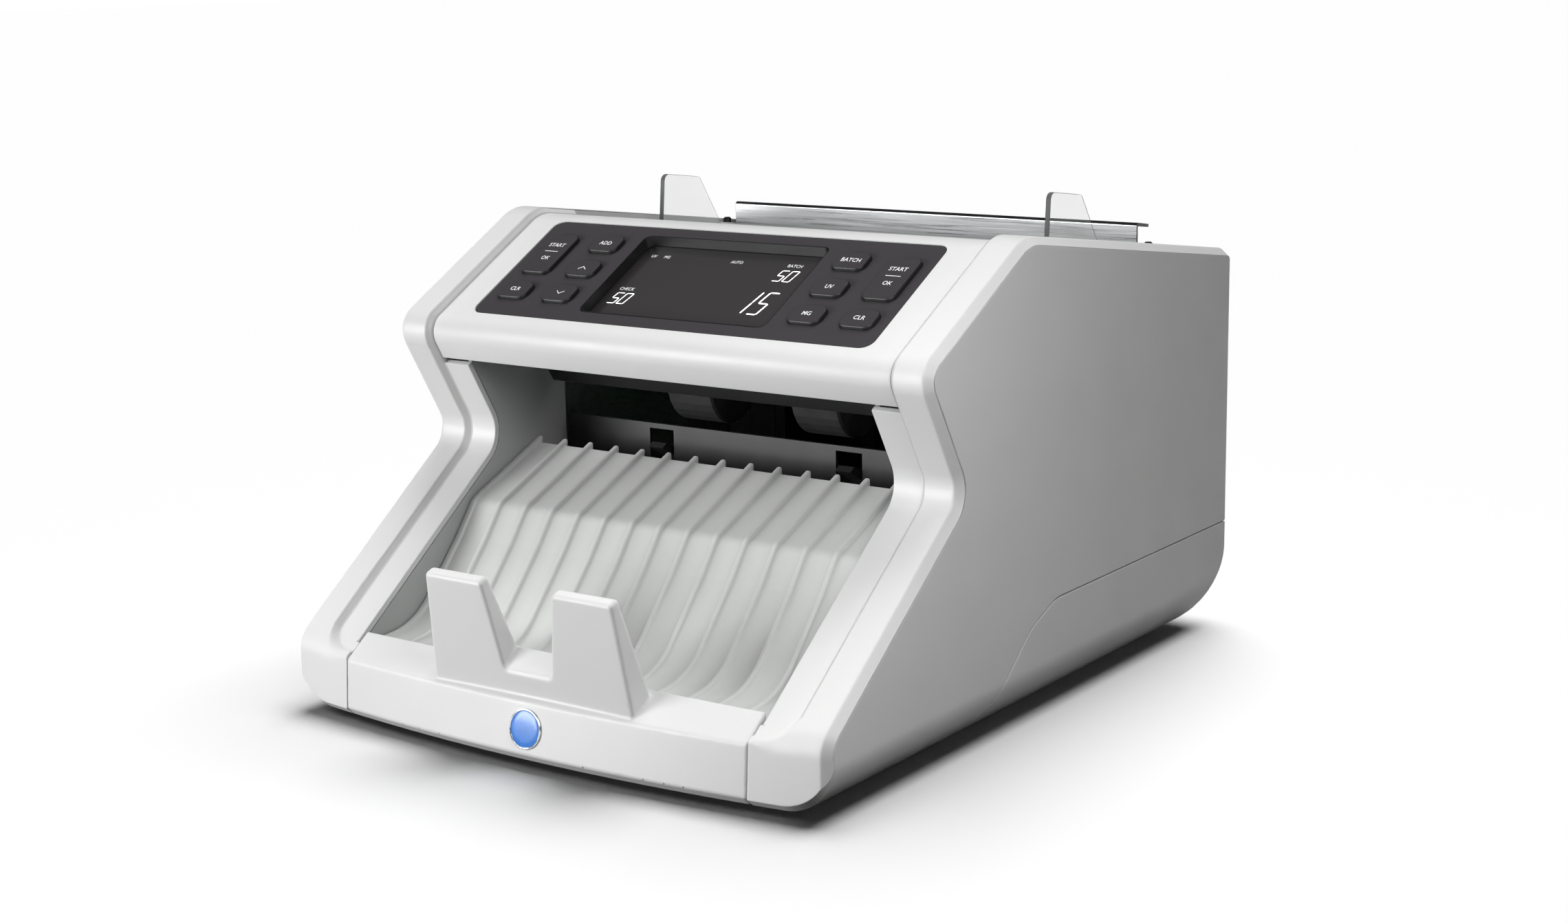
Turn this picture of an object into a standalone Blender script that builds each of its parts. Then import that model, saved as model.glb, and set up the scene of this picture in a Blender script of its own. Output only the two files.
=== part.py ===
"""Table-top banknote counter: an assembly of covers, console, hopper, stacker and note-feed drive.

Lengths are in millimetres and are scaled to metres where meshes are made.
+X is the operator's right, +Y the rear, +Z up. The origin is the middle of the footprint on the table.
"""
import math
import bpy
import bmesh
from mathutils import Matrix, Vector

MM = 0.001
GAP = 0.3

# ---- driving dimensions: the body ----
HALF_WIDTH = 123.0
REAR_Y = 153.5
FLOOR_Z = 3.0
EDGE_CHAMFER = 3.2
REAR_CHAMFER = 1.0
REAR_CORNER_RADIUS = 30.0
ROOF_FALL = 0.137
BOTTOM_EDGE_RADIUS = 18.0
CHANNEL_HALF = 107.4
RECESS = 2.3
WALL = 2.5
OPENING_HALF = 93.7
TRAY_HALF = 92.2
SEAM_Z = 43.0
RIB_PITCH = 19.8
RIB_HEIGHT = 1.3
HOPPER_FRONT_Y = 12.0
HOPPER_REAR_Y = 114.0

# ---- the console: a panel on a slope ----
PANEL_TOP = (-15.1, 175.1)
PANEL_ANGLE = math.radians(28.7)
PANEL_SIZE = (185.0, 62.4)
PANEL_THICK = 2.0
WINDOW_SIZE = (87.0, 50.6)
WINDOW_TOP = 5.2
KEY_SIZE = (15.0, 11.4)
TALL_KEY_SIZE = (15.0, 26.8)
KEY_RADIUS = 3.4
KEY_PROUD = 1.6
KEY_TRAVEL = 1.0
KEY_COLUMNS = (57.6, 80.0)
KEY_ROWS = (15.2, 31.7, 48.0)
TALL_KEY_ROW = 24.0

# ---- the drive: (Y, Z) of each shaft ----
PICKUP_AXIS = (30.1, 125.2)
FEED_AXIS = (2.0, 112.5)
RETARD_AXIS = (-15.0, 132.6)
STACKER_AXIS = (-2.0, 66.0)
MOTOR_AXIS = (62.0, 62.0)
MOTOR_PULLEY = 8.0
FEED_PULLEY = 12.0
STACKER_PULLEY = 16.0
PICKUP_PULLEY = 6.5
SHAFT_RADIUS = 4.0
FRAME_X = 98.0
FRAME_THICK = 2.0


# ---------------------------------------------------------------- outlines
def line_crossing(p, d, q, e):
    """Point where the line through p along d meets the line through q along e."""
    det = d[0] * e[1] - d[1] * e[0]
    t = ((q[0] - p[0]) * e[1] - (q[1] - p[1]) * e[0]) / det
    return (p[0] + d[0] * t, p[1] + d[1] * t)


def inset(corners, distance):
    """Move every edge of an anticlockwise outline inwards; corner radii follow."""
    count = len(corners)
    edges = []
    for i in range(count):
        a = corners[i]
        b = corners[(i + 1) % count]
        length = math.hypot(b[0] - a[0], b[1] - a[1])
        d = ((b[0] - a[0]) / length, (b[1] - a[1]) / length)
        edges.append(((a[0] - d[1] * distance, a[1] + d[0] * distance), d))
    moved = []
    for i in range(count):
        before = edges[i - 1]
        after = edges[i]
        turn = before[1][0] * after[1][1] - before[1][1] * after[1][0]
        radius = corners[i][2] - math.copysign(distance, turn)
        moved.append((*line_crossing(*before, *after), max(radius, 0.4)))
    return moved


def rounded(corners, steps=5):
    """Outline points of a polygon whose corners (u, v, radius) become arcs."""
    points = []
    count = len(corners)
    for i in range(count):
        u, v, radius = corners[i]
        here = Vector((u, v))
        back = (Vector(corners[i - 1][:2]) - here).normalized()
        ahead = (Vector(corners[(i + 1) % count][:2]) - here).normalized()
        half = back.angle(ahead) / 2
        reach = radius / math.tan(half)
        centre = here + (back + ahead).normalized() * (radius / math.sin(half))
        start = here + back * reach - centre
        sweep = start.angle_signed(here + ahead * reach - centre)
        for k in range(steps + 1):
            turned_by = Matrix.Rotation(-sweep * k / steps, 2)
            points.append(tuple(centre + turned_by @ start))
    return points


def rectangle(width, height, radius, centre=(0.0, 0.0)):
    """Corners of a rounded rectangle about a centre."""
    u, v = centre
    a, b = width / 2, height / 2
    return [(u + a, v - b, radius), (u + a, v + b, radius), (u - a, v + b, radius), (u - a, v - b, radius)]


def side_profile(x=0.0, floor=FLOOR_Z, depth=0.0, rear=REAR_Y):
    """Corners of the body's outline in the YZ plane, at a distance x from the middle, inset by depth."""
    x = abs(x)
    front_low = -152.4 + x * x / 1511
    front_high = -149.3 + x * x / 2227
    lean = (front_high - front_low) / 19.0
    toe_top = line_crossing((front_low, 5.7), (lean, 1.0), (-101.0, 60.5), (1.0, 0.755))
    toe_radius = 4.0 + 8.0 * max(0.0, x - TRAY_HALF) / 28.0
    foot = [
        (front_low - lean * (5.7 - floor - 2.7), floor + 2.7, 0.6),
        (front_low + 3.2, floor, 0.6),
    ]
    if depth > RECESS:
        foot = [(front_low, floor, 2.0 + depth)]
    corners = [
        (rear, floor, REAR_CORNER_RADIUS - (floor - FLOOR_Z)),
        (rear, 157.3 - ROOF_FALL * (rear - REAR_Y), 5.0),
        (-11.6, 179.9, 22.0),
        (-83.1, 140.9, 10.0),
        (-56.5, 94.1, 10.0),
        (*toe_top, toe_radius),
    ] + foot
    return inset(corners, depth) if depth else corners


# ---------------------------------------------------------------- meshes and objects
def clear_scene():
    for item in list(bpy.data.objects):
        bpy.data.objects.remove(item, do_unlink=True)
    for group in list(bpy.data.collections):
        bpy.data.collections.remove(group)


def make_collection(name):
    group = bpy.data.collections.new(name)
    bpy.context.scene.collection.children.link(group)
    return group


def material(name, color, roughness, metallic=0.0, alpha=1.0):
    mat = bpy.data.materials.new(name)
    mat.use_nodes = True
    shader = mat.node_tree.nodes["Principled BSDF"]
    shader.inputs["Base Color"].default_value = (*color, 1.0)
    shader.inputs["Roughness"].default_value = roughness
    shader.inputs["Metallic"].default_value = metallic
    shader.inputs["Alpha"].default_value = alpha
    return mat


def place(name, mesh, mat, matrix=Matrix.Identity(4)):
    item = bpy.data.objects.new(name, mesh)
    item.matrix_world = matrix
    if mat:
        item.data.materials.clear()
        item.data.materials.append(mat)
    PARTS.objects.link(item)
    return item


def plate_mesh(loops, thickness):
    """Flat outlines (the first is the edge, the rest are holes) filled and given a thickness."""
    curve = bpy.data.curves.new("outline", "CURVE")
    curve.dimensions = "2D"
    curve.fill_mode = "BOTH"
    curve.extrude = thickness * MM / 2
    for loop in loops:
        spline = curve.splines.new("POLY")
        spline.points.add(len(loop) - 1)
        for point, (u, v) in zip(spline.points, loop):
            point.co = (u * MM, v * MM, 0.0, 1.0)
        spline.use_cyclic_u = True
    holder = bpy.data.objects.new("outline", curve)
    PARTS.objects.link(holder)
    bpy.context.view_layer.update()
    solid = bpy.data.meshes.new_from_object(holder.evaluated_get(bpy.context.evaluated_depsgraph_get()))
    bpy.data.objects.remove(holder)
    bpy.data.curves.remove(curve)
    weld(solid)
    return solid


def weld(mesh, distance=0.00001):
    bm = bmesh.new()
    bm.from_mesh(mesh)
    bmesh.ops.remove_doubles(bm, verts=bm.verts, dist=distance)
    bmesh.ops.recalc_face_normals(bm, faces=bm.faces)
    bm.to_mesh(mesh)
    bm.free()


def loft(rings):
    """Closed solid through (x, outline) rings; every outline has (Y, Z) points and the same number of them."""
    bm = bmesh.new()
    layers = [[bm.verts.new((x * MM, y * MM, z * MM)) for y, z in ring] for x, ring in rings]
    for low, high in zip(layers, layers[1:]):
        for i in range(len(low)):
            j = (i + 1) % len(low)
            bm.faces.new((low[i], low[j], high[j], high[i]))
    bm.faces.new(layers[0])
    bm.faces.new(layers[-1])
    bmesh.ops.recalc_face_normals(bm, faces=bm.faces)
    mesh = bpy.data.meshes.new("loft")
    bm.to_mesh(mesh)
    bm.free()
    return mesh


def side_on(x):
    """Frame of an outline drawn in the YZ plane, its middle at x."""
    return Matrix(((0, 0, 1, x * MM), (1, 0, 0, 0), (0, 1, 0, 0), (0, 0, 0, 1)))


def front_on(y):
    """Frame of an outline drawn in the XZ plane, its middle at y."""
    return Matrix(((1, 0, 0, 0), (0, 0, -1, y * MM), (0, 1, 0, 0), (0, 0, 0, 1)))


def on_panel(x, down, height):
    """Frame on the console's slope: x across, down the slope from the panel's top edge, height out of it."""
    slope = Vector((0, math.cos(PANEL_ANGLE), math.sin(PANEL_ANGLE)))
    normal = Vector((0, -math.sin(PANEL_ANGLE), math.cos(PANEL_ANGLE)))
    spot = Vector((x, *PANEL_TOP)) - slope * down + normal * height
    frame = Matrix.Identity(4)
    frame.col[1][:3] = slope
    frame.col[2][:3] = normal
    frame.translation = spot * MM
    return frame


def side_plate(name, loops, x_low, x_high, mat=None):
    middle = (x_low + x_high) / 2
    return place(name, plate_mesh(loops, x_high - x_low), mat, side_on(middle))


def box(name, low, high, mat=None):
    bm = bmesh.new()
    size = [h - l for l, h in zip(low, high)]
    middle = [(h + l) / 2 for l, h in zip(low, high)]
    frame = Matrix.Translation([m * MM for m in middle]) @ Matrix.Diagonal([s * MM for s in size] + [1])
    bmesh.ops.create_cube(bm, size=1.0, matrix=frame)
    mesh = bpy.data.meshes.new(name)
    bm.to_mesh(mesh)
    bm.free()
    return place(name, mesh, mat)


def turned(name, profile, mat, y, z, x=0.0, steps=32, closed=False, axis="X"):
    """A turned piece: (radius, along) points from one end to the other, about an axis through x, y, z."""
    mesh = bpy.data.meshes.new(name)
    verts = [(r * MM, 0.0, along * MM) for r, along in profile]
    edges = [(i, i + 1) for i in range(len(verts) - 1)]
    if closed:
        edges.append((len(verts) - 1, 0))
    mesh.from_pydata(verts, edges, [])
    turn = Matrix.Rotation(math.pi / 2, 4, "Y") if axis == "X" else Matrix.Identity(4)
    item = place(name, mesh, None, Matrix.Translation((x * MM, y * MM, z * MM)) @ turn)
    screw = item.modifiers.new("turn", "SCREW")
    screw.steps = steps
    screw.render_steps = steps
    screw.use_merge_vertices = True
    screw.merge_threshold = 0.00001
    apply_modifiers(item)
    weld(item.data)
    item.data.materials.append(mat)
    item.data.shade_smooth()
    item.data.set_sharp_from_angle(angle=math.radians(35))
    return item


def apply_modifiers(item):
    """Replace an object's mesh by its evaluated mesh."""
    bpy.context.view_layer.update()
    solid = bpy.data.meshes.new_from_object(item.evaluated_get(bpy.context.evaluated_depsgraph_get()))
    item.modifiers.clear()
    item.data = solid


def combine(item, tool, operation="DIFFERENCE"):
    """Cut item by tool, join them, or keep what they share; the tool is used up."""
    tool.hide_render = True
    tool.display_type = "WIRE"
    step = item.modifiers.new("combine", "BOOLEAN")
    step.operation = operation
    step.solver = "EXACT"
    step.object = tool
    apply_modifiers(item)
    bpy.data.objects.remove(tool, do_unlink=True)
    return item


def finish(item, name, mat):
    """Name a carved piece, give it its material and weld the seams that cutting leaves."""
    item.name = name
    item.data.materials.clear()
    item.data.materials.append(mat)
    weld(item.data)
    item.data.shade_smooth()
    item.data.set_sharp_from_angle(angle=math.radians(30))
    return item


def body_solid(depth, half):
    """The whole body as one loft of side profiles, inset by depth, out to +-half."""
    corner_x = HALF_WIDTH - BOTTOM_EDGE_RADIUS
    corner_z = FLOOR_Z + BOTTOM_EDGE_RADIUS
    radius = BOTTOM_EDGE_RADIUS - depth
    stations = [0.0, 31.0, 62.0, 92.6, 99.0, corner_x]
    edge = half - (EDGE_CHAMFER if depth == 0 else 0.0)
    stations += [corner_x + (edge - corner_x) * k / 4 for k in (1, 2, 3, 4)]
    rings = []
    for x in [-s for s in reversed(stations[1:])] + stations:
        out = max(0.0, abs(x) - corner_x)
        floor = corner_z - math.sqrt(max(radius * radius - out * out, 0.0)) - depth
        rings.append((x, rounded(side_profile(x, floor, depth))))
    if depth == 0:
        rear = REAR_Y + EDGE_CHAMFER - REAR_CHAMFER
        outer = rounded(inset(side_profile(half, corner_z - EDGE_CHAMFER, rear=rear), EDGE_CHAMFER))
        rings = [(-half, outer)] + rings + [(half, outer)]
    return place("body", loft(rings), None)


# ---------------------------------------------------------------- covers
def seam_region(margin):
    """Outline of the rear lower part that belongs to the base, grown by margin."""
    top = SEAM_Z + margin
    return [
        (REAR_Y + 20, -20), (REAR_Y + 20, top), (8.0 - margin, top), (-8.0 - margin, top - 6.0),
        (-34.0 - margin, 16.0), (-52.0 - margin, 2.0), (-60.0 - margin, -20),
    ]


def side_cover(name, side, mat):
    """One cheek: side wall, front band, and the recessed flange beside the stacker opening."""
    low, high = sorted((side * CHANNEL_HALF, side * 140))
    keep = box("keep", (low, -200, -10), (high, 200, 200))
    low, high = sorted((side * (TRAY_HALF + 0.4), side * 130))
    combine(keep, box("toe", (low, -170, -5), (high, -134.5, 25.5)), "UNION")
    combine(keep, box("underside", (low, -169, -4), (high, -40, 8)), "UNION")
    cheek = combine(body_solid(0, HALF_WIDTH), keep, "INTERSECT")
    low, high = sorted((side * OPENING_HALF, side * (CHANNEL_HALF + 0.5)))
    flange = side_plate("flange", [rounded(side_profile(100.0, FLOOR_Z, RECESS))], low, high)
    below_console = [(-170, -10), (-30, -10), (-30, 102), (-52.9, 136.0), (-85.6, 117.3), (-170, 117.3)]
    combine(flange, side_plate("keep", [below_console], -140, 140), "INTERSECT")
    combine(cheek, flange, "UNION")
    combine(cheek, body_solid(RECESS + WALL, HALF_WIDTH - WALL), "DIFFERENCE")
    combine(cheek, side_plate("base", [seam_region(GAP / 2)], -140, 140), "DIFFERENCE")
    return finish(cheek, name, mat)


def base_shell(mat):
    shell = combine(body_solid(0, HALF_WIDTH), body_solid(WALL, HALF_WIDTH - WALL))
    combine(shell, side_plate("base", [seam_region(-GAP / 2)], -140, 140), "INTERSECT")
    for x, y in foot_places():
        if y > 0:
            combine(shell, peg_hole(x, y))
    for x in (-60, -30, 0, 30, 60):
        combine(shell, box("vent", (x - 9, 60, -5), (x + 9, 63, 8)))
    return finish(shell, "base_shell", mat)


def rear_cover(mat):
    shell = combine(body_solid(0, HALF_WIDTH), body_solid(WALL, HALF_WIDTH - WALL))
    edge = CHANNEL_HALF - GAP
    front = HOPPER_REAR_Y + 3
    low = SEAM_Z + GAP / 2
    keep = [(front, low), (200, low), (200, 200), (front, 200)]
    combine(shell, side_plate("keep", [keep], -edge, edge), "INTERSECT")
    combine(shell, box("port", (-86.6, 140, 51.4), (-37.4, 160, 78.6)))
    for row in range(5):
        z = 96 + row * 8
        combine(shell, box("vent", (-40, 145, z), (40, 160, z + 3)))
    return finish(shell, "rear_cover", mat)


def front_tray(mat):
    """Front lip of the stacker with its floor plate and the two leaning fingers."""
    shell = combine(body_solid(0, HALF_WIDTH), body_solid(WALL, HALF_WIDTH - WALL))
    keep = [(-170, -10), (-51.4, -10), (-51.4, 6.5), (-126, 8), (-134.0, 31.0), (-139, 36.0), (-170, 40)]
    combine(shell, side_plate("keep", [keep], -TRAY_HALF, TRAY_HALF), "INTERSECT")
    front_view = [
        (-46, 20), (46, 20), (42.6, 67.2), (16.6, 67.2), (9.6, 33.5), (-9.6, 33.5), (-16.6, 67.2),
        (-42.6, 67.2),
    ]
    fingers = place("fingers", plate_mesh([front_view], 60), None, front_on(-140))
    side_view = [(-134.0, 26.0), (-133.6, 31.0), (-148.7, 68.0), (-153.5, 66.8), (-147.6, 26.5)]
    combine(fingers, side_plate("keep", [side_view], -50, 50), "INTERSECT")
    combine(shell, fingers, "UNION")
    combine(shell, badge_disc("recess", 7.7, -0.9, 4.0, None))
    for x, y in foot_places():
        if y < 0:
            combine(shell, peg_hole(x, y))
    return finish(shell, "front_tray", mat)


def badge_disc(name, radius, low, high, mat):
    """Round badge on the tray's leaning front; low and high are measured out of that face."""
    lean = math.atan2(3.1, 19.0)
    frame = Matrix.Translation((0, -150.85 * MM, 15.2 * MM)) @ Matrix.Rotation(math.pi / 2 - lean, 4, "X")
    profile = [(0.0, high), (radius, high), (radius, low), (0.0, low)]
    disc = turned(name, profile, mat or PLASTIC, 0, 0, axis="Z")
    disc.matrix_world = frame
    return disc


def foot_places():
    return [(sx * 78.0, y) for y in (-112.0, 122.0) for sx in (-1, 1)]


def peg_hole(x, y):
    profile = [(0.0, 9.0), (3.3, 9.0), (3.3, -3.0), (0.0, -3.0)]
    return turned("hole", profile, PLASTIC, y, FLOOR_Z, x, 16, axis="Z")


def foot(name, x, y, mat):
    """Rubber foot with a peg that is pushed into the floor of the housing."""
    profile = [(0.0, 5.0), (3.0, 5.0), (3.0, 2.7), (9.0, 2.7), (10.0, 0.6), (9.4, 0.0), (0.0, 0.0)]
    return turned(name, profile, mat, y, 0.0, x, 20, axis="Z")


# ---------------------------------------------------------------- console
def console_housing(mat):
    edge = CHANNEL_HALF - GAP
    shell = side_plate("shell", [rounded(side_profile(0.0, FLOOR_Z, RECESS), 6)], -edge, edge)
    combine(shell, side_plate("inner", [rounded(side_profile(0.0, FLOOR_Z, RECESS + WALL), 6)], -120, 120))
    keep = [(-86.2, 118.7), (-53.6, 137.3), (HOPPER_FRONT_Y, 150), (HOPPER_FRONT_Y, 200), (-110, 200),
            (-110, 118.7)]
    combine(shell, side_plate("keep", [keep], -120, 120), "INTERSECT")
    width, height = PANEL_SIZE
    middle = on_panel(0, height / 2, 0)
    hole = place("hole", plate_mesh([rounded(rectangle(width, height, 5.0), 4)], 30), None, middle)
    combine(shell, hole)
    return finish(shell, "console_housing", mat)


def key_places():
    """(name, x, down the slope, width, height) of each key."""
    inner, outer = KEY_COLUMNS
    top, middle, bottom = KEY_ROWS
    small = KEY_SIZE
    tall = TALL_KEY_SIZE
    return [
        ("key_start_left", -outer, TALL_KEY_ROW, *tall), ("key_clear_left", -outer, bottom, *small),
        ("key_add", -inner, top, *small), ("key_up", -inner, middle, *small),
        ("key_down", -inner, bottom, *small), ("key_batch", inner, top, *small),
        ("key_uv", inner, middle, *small), ("key_mg", inner, bottom, *small),
        ("key_start_right", outer, TALL_KEY_ROW, *tall), ("key_clear_right", outer, bottom, *small),
    ]


def key_panel(mat):
    width, height = PANEL_SIZE[0] - 2 * GAP, PANEL_SIZE[1] - 2 * GAP
    centre = PANEL_SIZE[1] / 2
    window_v = centre - WINDOW_TOP - WINDOW_SIZE[1] / 2
    loops = [rounded(rectangle(width, height, 4.7), 4)]
    loops.append(rounded(rectangle(*WINDOW_SIZE, 3.5, (0, window_v)), 4))
    for _, x, down, w, h in key_places():
        well = rectangle(w + 2 * GAP, h + 2 * GAP, KEY_RADIUS + GAP, (x, centre - down))
        loops.append(rounded(well, 3))
    return place("key_panel", plate_mesh(loops, PANEL_THICK), mat, on_panel(0, centre, -PANEL_THICK / 2))


def window_middle(height):
    return on_panel(0, WINDOW_TOP + WINDOW_SIZE[1] / 2, height)


def display_bezel(mat):
    """Deep black frame that sets the display below the panel."""
    width, height = WINDOW_SIZE
    low, high = -5.0, -PANEL_THICK - GAP
    loops = [rounded(rectangle(width + 7, height + 5, 3.0), 3), rounded(rectangle(width, height, 3.5), 4)]
    return place("display_bezel", plate_mesh(loops, high - low), mat, window_middle((low + high) / 2))


def display_layer(name, extra, low, high, mat):
    width, height = WINDOW_SIZE
    loop = rounded(rectangle(width + extra, height + extra, 2.0), 3)
    return place(name, plate_mesh([loop], high - low), mat, window_middle((low + high) / 2))


def keypad_board(name, side, mat):
    loop = rounded(rectangle(40.5, 58.0, 2.0), 2)
    return place(name, plate_mesh([loop], 1.6), mat, on_panel(side * 70.4, PANEL_SIZE[1] / 2, -5.6))


def key(name, x, down, width, height, mat):
    """Key cap with a flange that keeps it behind the panel."""
    cap = place(name, plate_mesh([rounded(rectangle(width, height, KEY_RADIUS), 3)], KEY_PROUD + 2.8), mat,
                on_panel(x, down, 0))
    cap.data.transform(Matrix.Translation((0, 0, (KEY_PROUD - 2.8) / 2 * MM)))
    flange_low, flange_high = -3.3, -PANEL_THICK - GAP
    frame = on_panel(x, down, (flange_low + flange_high) / 2)
    loop = rounded(rectangle(width + 2.6, height + 2.0, 2.4), 2)
    flange = place("flange", plate_mesh([loop], 1.0), None, frame)
    combine(cap, flange, "UNION")
    return finish(cap, name, mat)


# ---------------------------------------------------------------- stacker
def stacker_wall(name, side, mat):
    low, high = sorted((side * (OPENING_HALF + 0.2), side * (OPENING_HALF + 2.0)))
    wall = side_plate(name, [rounded(side_profile(92.0, FLOOR_Z, RECESS + WALL + GAP))], low, high)
    keep = [(-131, 16), (-14, 16), (-14, 118), (-30, 131), (-61.5, 131.0), (-131, 91)]
    combine(wall, side_plate("keep", [keep], -140, 140), "INTERSECT")
    return finish(wall, name, mat)


def stacker_floor(mat):
    """Ribbed chute: flat at the tray, curving up to a ledge under the stacking wheels."""
    spine = [(-131.2, 27.0, 1.0), (-108.0, 29.0, 26.0), (-82.0, 58.0, 14.0), (-72.0, 71.0, 8.0)]
    spine.append((-33.0, 88.0, 2.0))
    under = [(-33.0, 84.0, 2.0), (-68.0, 66.0, 8.0), (-78.0, 53.0, 14.0), (-104.0, 24.0, 22.0)]
    under.append((-131.2, 22.5, 2.0))
    section = list(reversed(spine + under))
    low_loop = rounded(section, 2)
    high_loop = rounded(inset(section, -RIB_HEIGHT), 2)
    reach = OPENING_HALF - GAP
    rings = [(-reach, low_loop)]
    for rib in range(-4, 5):
        middle = rib * RIB_PITCH
        rings += [(middle - 0.9, low_loop), (middle - 0.6, high_loop)]
        rings += [(middle + 0.6, high_loop), (middle + 0.9, low_loop)]
    rings.append((reach, low_loop))
    return finish(place("stacker_floor", loft(rings), mat), "stacker_floor", mat)


def stacker_back_guide(mat):
    """Dark plate behind the stacked notes, slotted for the stacking wheels."""
    reach = OPENING_HALF - GAP
    outline = [(-reach, 20), (reach, 20), (reach, 96), (-reach, 96)]
    slots = [[(x - 6, 36), (x - 6, 94), (x + 6, 94), (x + 6, 36)] for x in (-45, 45)]
    return place("stacker_back_guide", plate_mesh([outline] + slots, 1.6), mat, front_on(-12.0))


def stacker_top_guide(mat):
    outline = [(-66.5, 126.8), (-66.0, 128.4), (-24.0, 118.4), (-20.0, 112.0), (-21.4, 111.0), (-25.2, 117.0)]
    reach = OPENING_HALF - GAP
    return side_plate("stacker_top_guide", [list(reversed(outline))], -reach, reach, mat)


# ---------------------------------------------------------------- hopper
def hopper_floor_z(y):
    return 132.0 + (y - 14.0) * 0.298


def hopper_tray(mat):
    """Sloping floor that the notes stand on, with its two side walls."""
    reach = CHANNEL_HALF - 0.6
    near, far = 15.0, HOPPER_REAR_Y - 2.0
    floor_loop = [(near, hopper_floor_z(near) - 2.4), (far, hopper_floor_z(far) - 2.4)]
    floor_loop += [(far, hopper_floor_z(far)), (near, hopper_floor_z(near))]
    floor = side_plate("floor", [floor_loop], -reach, reach)
    top_front = 178.3 - 0.1366 * (near + 1.4) - 3.6
    top_rear = 178.3 - 0.1366 * (far + 1.4) - 3.6
    wall_loop = [(near, hopper_floor_z(near) - 2.0), (far, hopper_floor_z(far) - 2.0), (far, top_rear),
                 (near, top_front)]
    for side in (-1, 1):
        low, high = sorted((side * (reach - 1.8), side * reach))
        combine(floor, side_plate("wall", [wall_loop], low, high), "UNION")
    for x in (-30, 30):
        combine(floor, box("slot", (x - 10.5, 16.4, 120), (x + 10.5, 44, 150)))
    for side in (-1, 1):
        low, high = sorted((side * 50, side * 98))
        combine(floor, box("slot", (low, 64.5, 130), (high, 71.5, 160)))
    return finish(floor, "hopper_tray", mat)


def hopper_back_plate(mat):
    """Folded steel plate that the notes lean on."""
    y, top = HOPPER_REAR_Y + 0.2, 170.7
    outline = [(y, 146.0), (y + 1.2, 146.0), (y + 1.2, top - 1.4), (y + 10.5, top - 2.8)]
    outline += [(y + 10.6, top - 1.6), (y, top)]
    return side_plate("hopper_back_plate", [outline], -100.0, 100.0, mat)


def plate_stud(name, side, mat):
    """Stud that holds one end of the back plate."""
    profile = [(0.0, 7.2), (1.2, 7.2), (1.8, 6.6), (1.8, 0.0), (0.0, 0.0)]
    return turned(name, profile, mat, 114.6, 156.0, side * 105.0, 12, axis="Z")


def note_guide(name, side, mat):
    """Clear side guide with the stem and slider that run on the rail under the hopper floor."""
    x = side * 93.4
    outline = [(50.0, 145.5, 1.0), (96.0, 159.0, 1.0), (78.4, 185.0, 2.5), (54.0, 188.2, 3.0)]
    clear = side_plate(name, [rounded(outline, 3)], x - 1.0, x + 1.0)
    combine(clear, box("stem", (x - 2.2, 65.5, 138.0), (x + 2.2, 70.5, 156.0)), "UNION")
    combine(clear, box("slider", (x - 4.0, 62.0, 130.0), (x + 4.0, 74.0, 141.0)), "UNION")
    bore = [(0.0, 20.0), (3.4, 20.0), (3.4, -20.0), (0.0, -20.0)]
    combine(clear, turned("bore", bore, PLASTIC, 68.0, 135.5, x, 16))
    finish(clear, name, mat)
    set_origin(clear, (x, 68.0, 135.5))
    return clear


def set_origin(item, spot):
    """Move an object's origin to a point without moving its mesh."""
    target = Matrix.Translation([c * MM for c in spot])
    item.data.transform(target.inverted() @ item.matrix_world)
    item.matrix_world = target


# ---------------------------------------------------------------- frame, drive and electronics
def frame_plate(name, side, mat):
    """Steel side frame that carries the shafts."""
    low, high = sorted((side * FRAME_X, side * (FRAME_X + FRAME_THICK)))
    holes = [circle(PICKUP_AXIS, 4.3), circle(FEED_AXIS, 4.3), circle(RETARD_AXIS, 3.3)]
    holes.append(circle(STACKER_AXIS, 4.3))
    holes += [circle((68.0, 135.5), 3.3), circle(MOTOR_AXIS, 8.0)]
    outline = [(-10, 24), (-4, 10), (100, 10), (104, 60), (104, 148), (84, 148), (60, 141.5), (20, 128.0),
               (12, 128.0), (2, 141), (-22, 141), (-22, 100), (-10, 96)]
    return side_plate(name, [outline] + holes, low, high, mat)


def circle(centre, radius, count=16):
    angles = [k * math.tau / count for k in range(count)]
    return [(centre[0] + radius * math.cos(a), centre[1] + radius * math.sin(a)) for a in angles]


def shaft(name, axis, left, right, pulleys, mat):
    """Straight shaft from left to right; pulleys (x, radius) from left to right are turned on it."""
    profile = [(0.0, right), (SHAFT_RADIUS, right)]
    for x, radius in reversed(pulleys):
        low, high, rim = x - 4.0, x + 4.0, radius + 1.2
        profile += [(SHAFT_RADIUS, high), (rim, high), (rim, high - 1.0), (radius, high - 1.0)]
        profile += [(radius, low + 1.0), (rim, low + 1.0), (rim, low), (SHAFT_RADIUS, low)]
    profile += [(SHAFT_RADIUS, left), (0.0, left)]
    return turned(name, profile, mat, *axis, steps=20)


def rod(name, axis, radius, left, right, mat):
    profile = [(0.0, right), (radius, right), (radius, left), (0.0, left)]
    return turned(name, profile, mat, *axis, steps=16)


def roller(name, axis, x, bore, radius, width, mat, steps=28):
    """Rubber-tyred roller that is pressed on a shaft."""
    a = width / 2
    profile = [(bore, a), (radius - 0.8, a), (radius, a - 0.8), (radius, 0.8 - a), (radius - 0.8, -a)]
    profile.append((bore, -a))
    return turned(name, profile, mat, *axis, x=x, steps=steps, closed=True)


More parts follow.
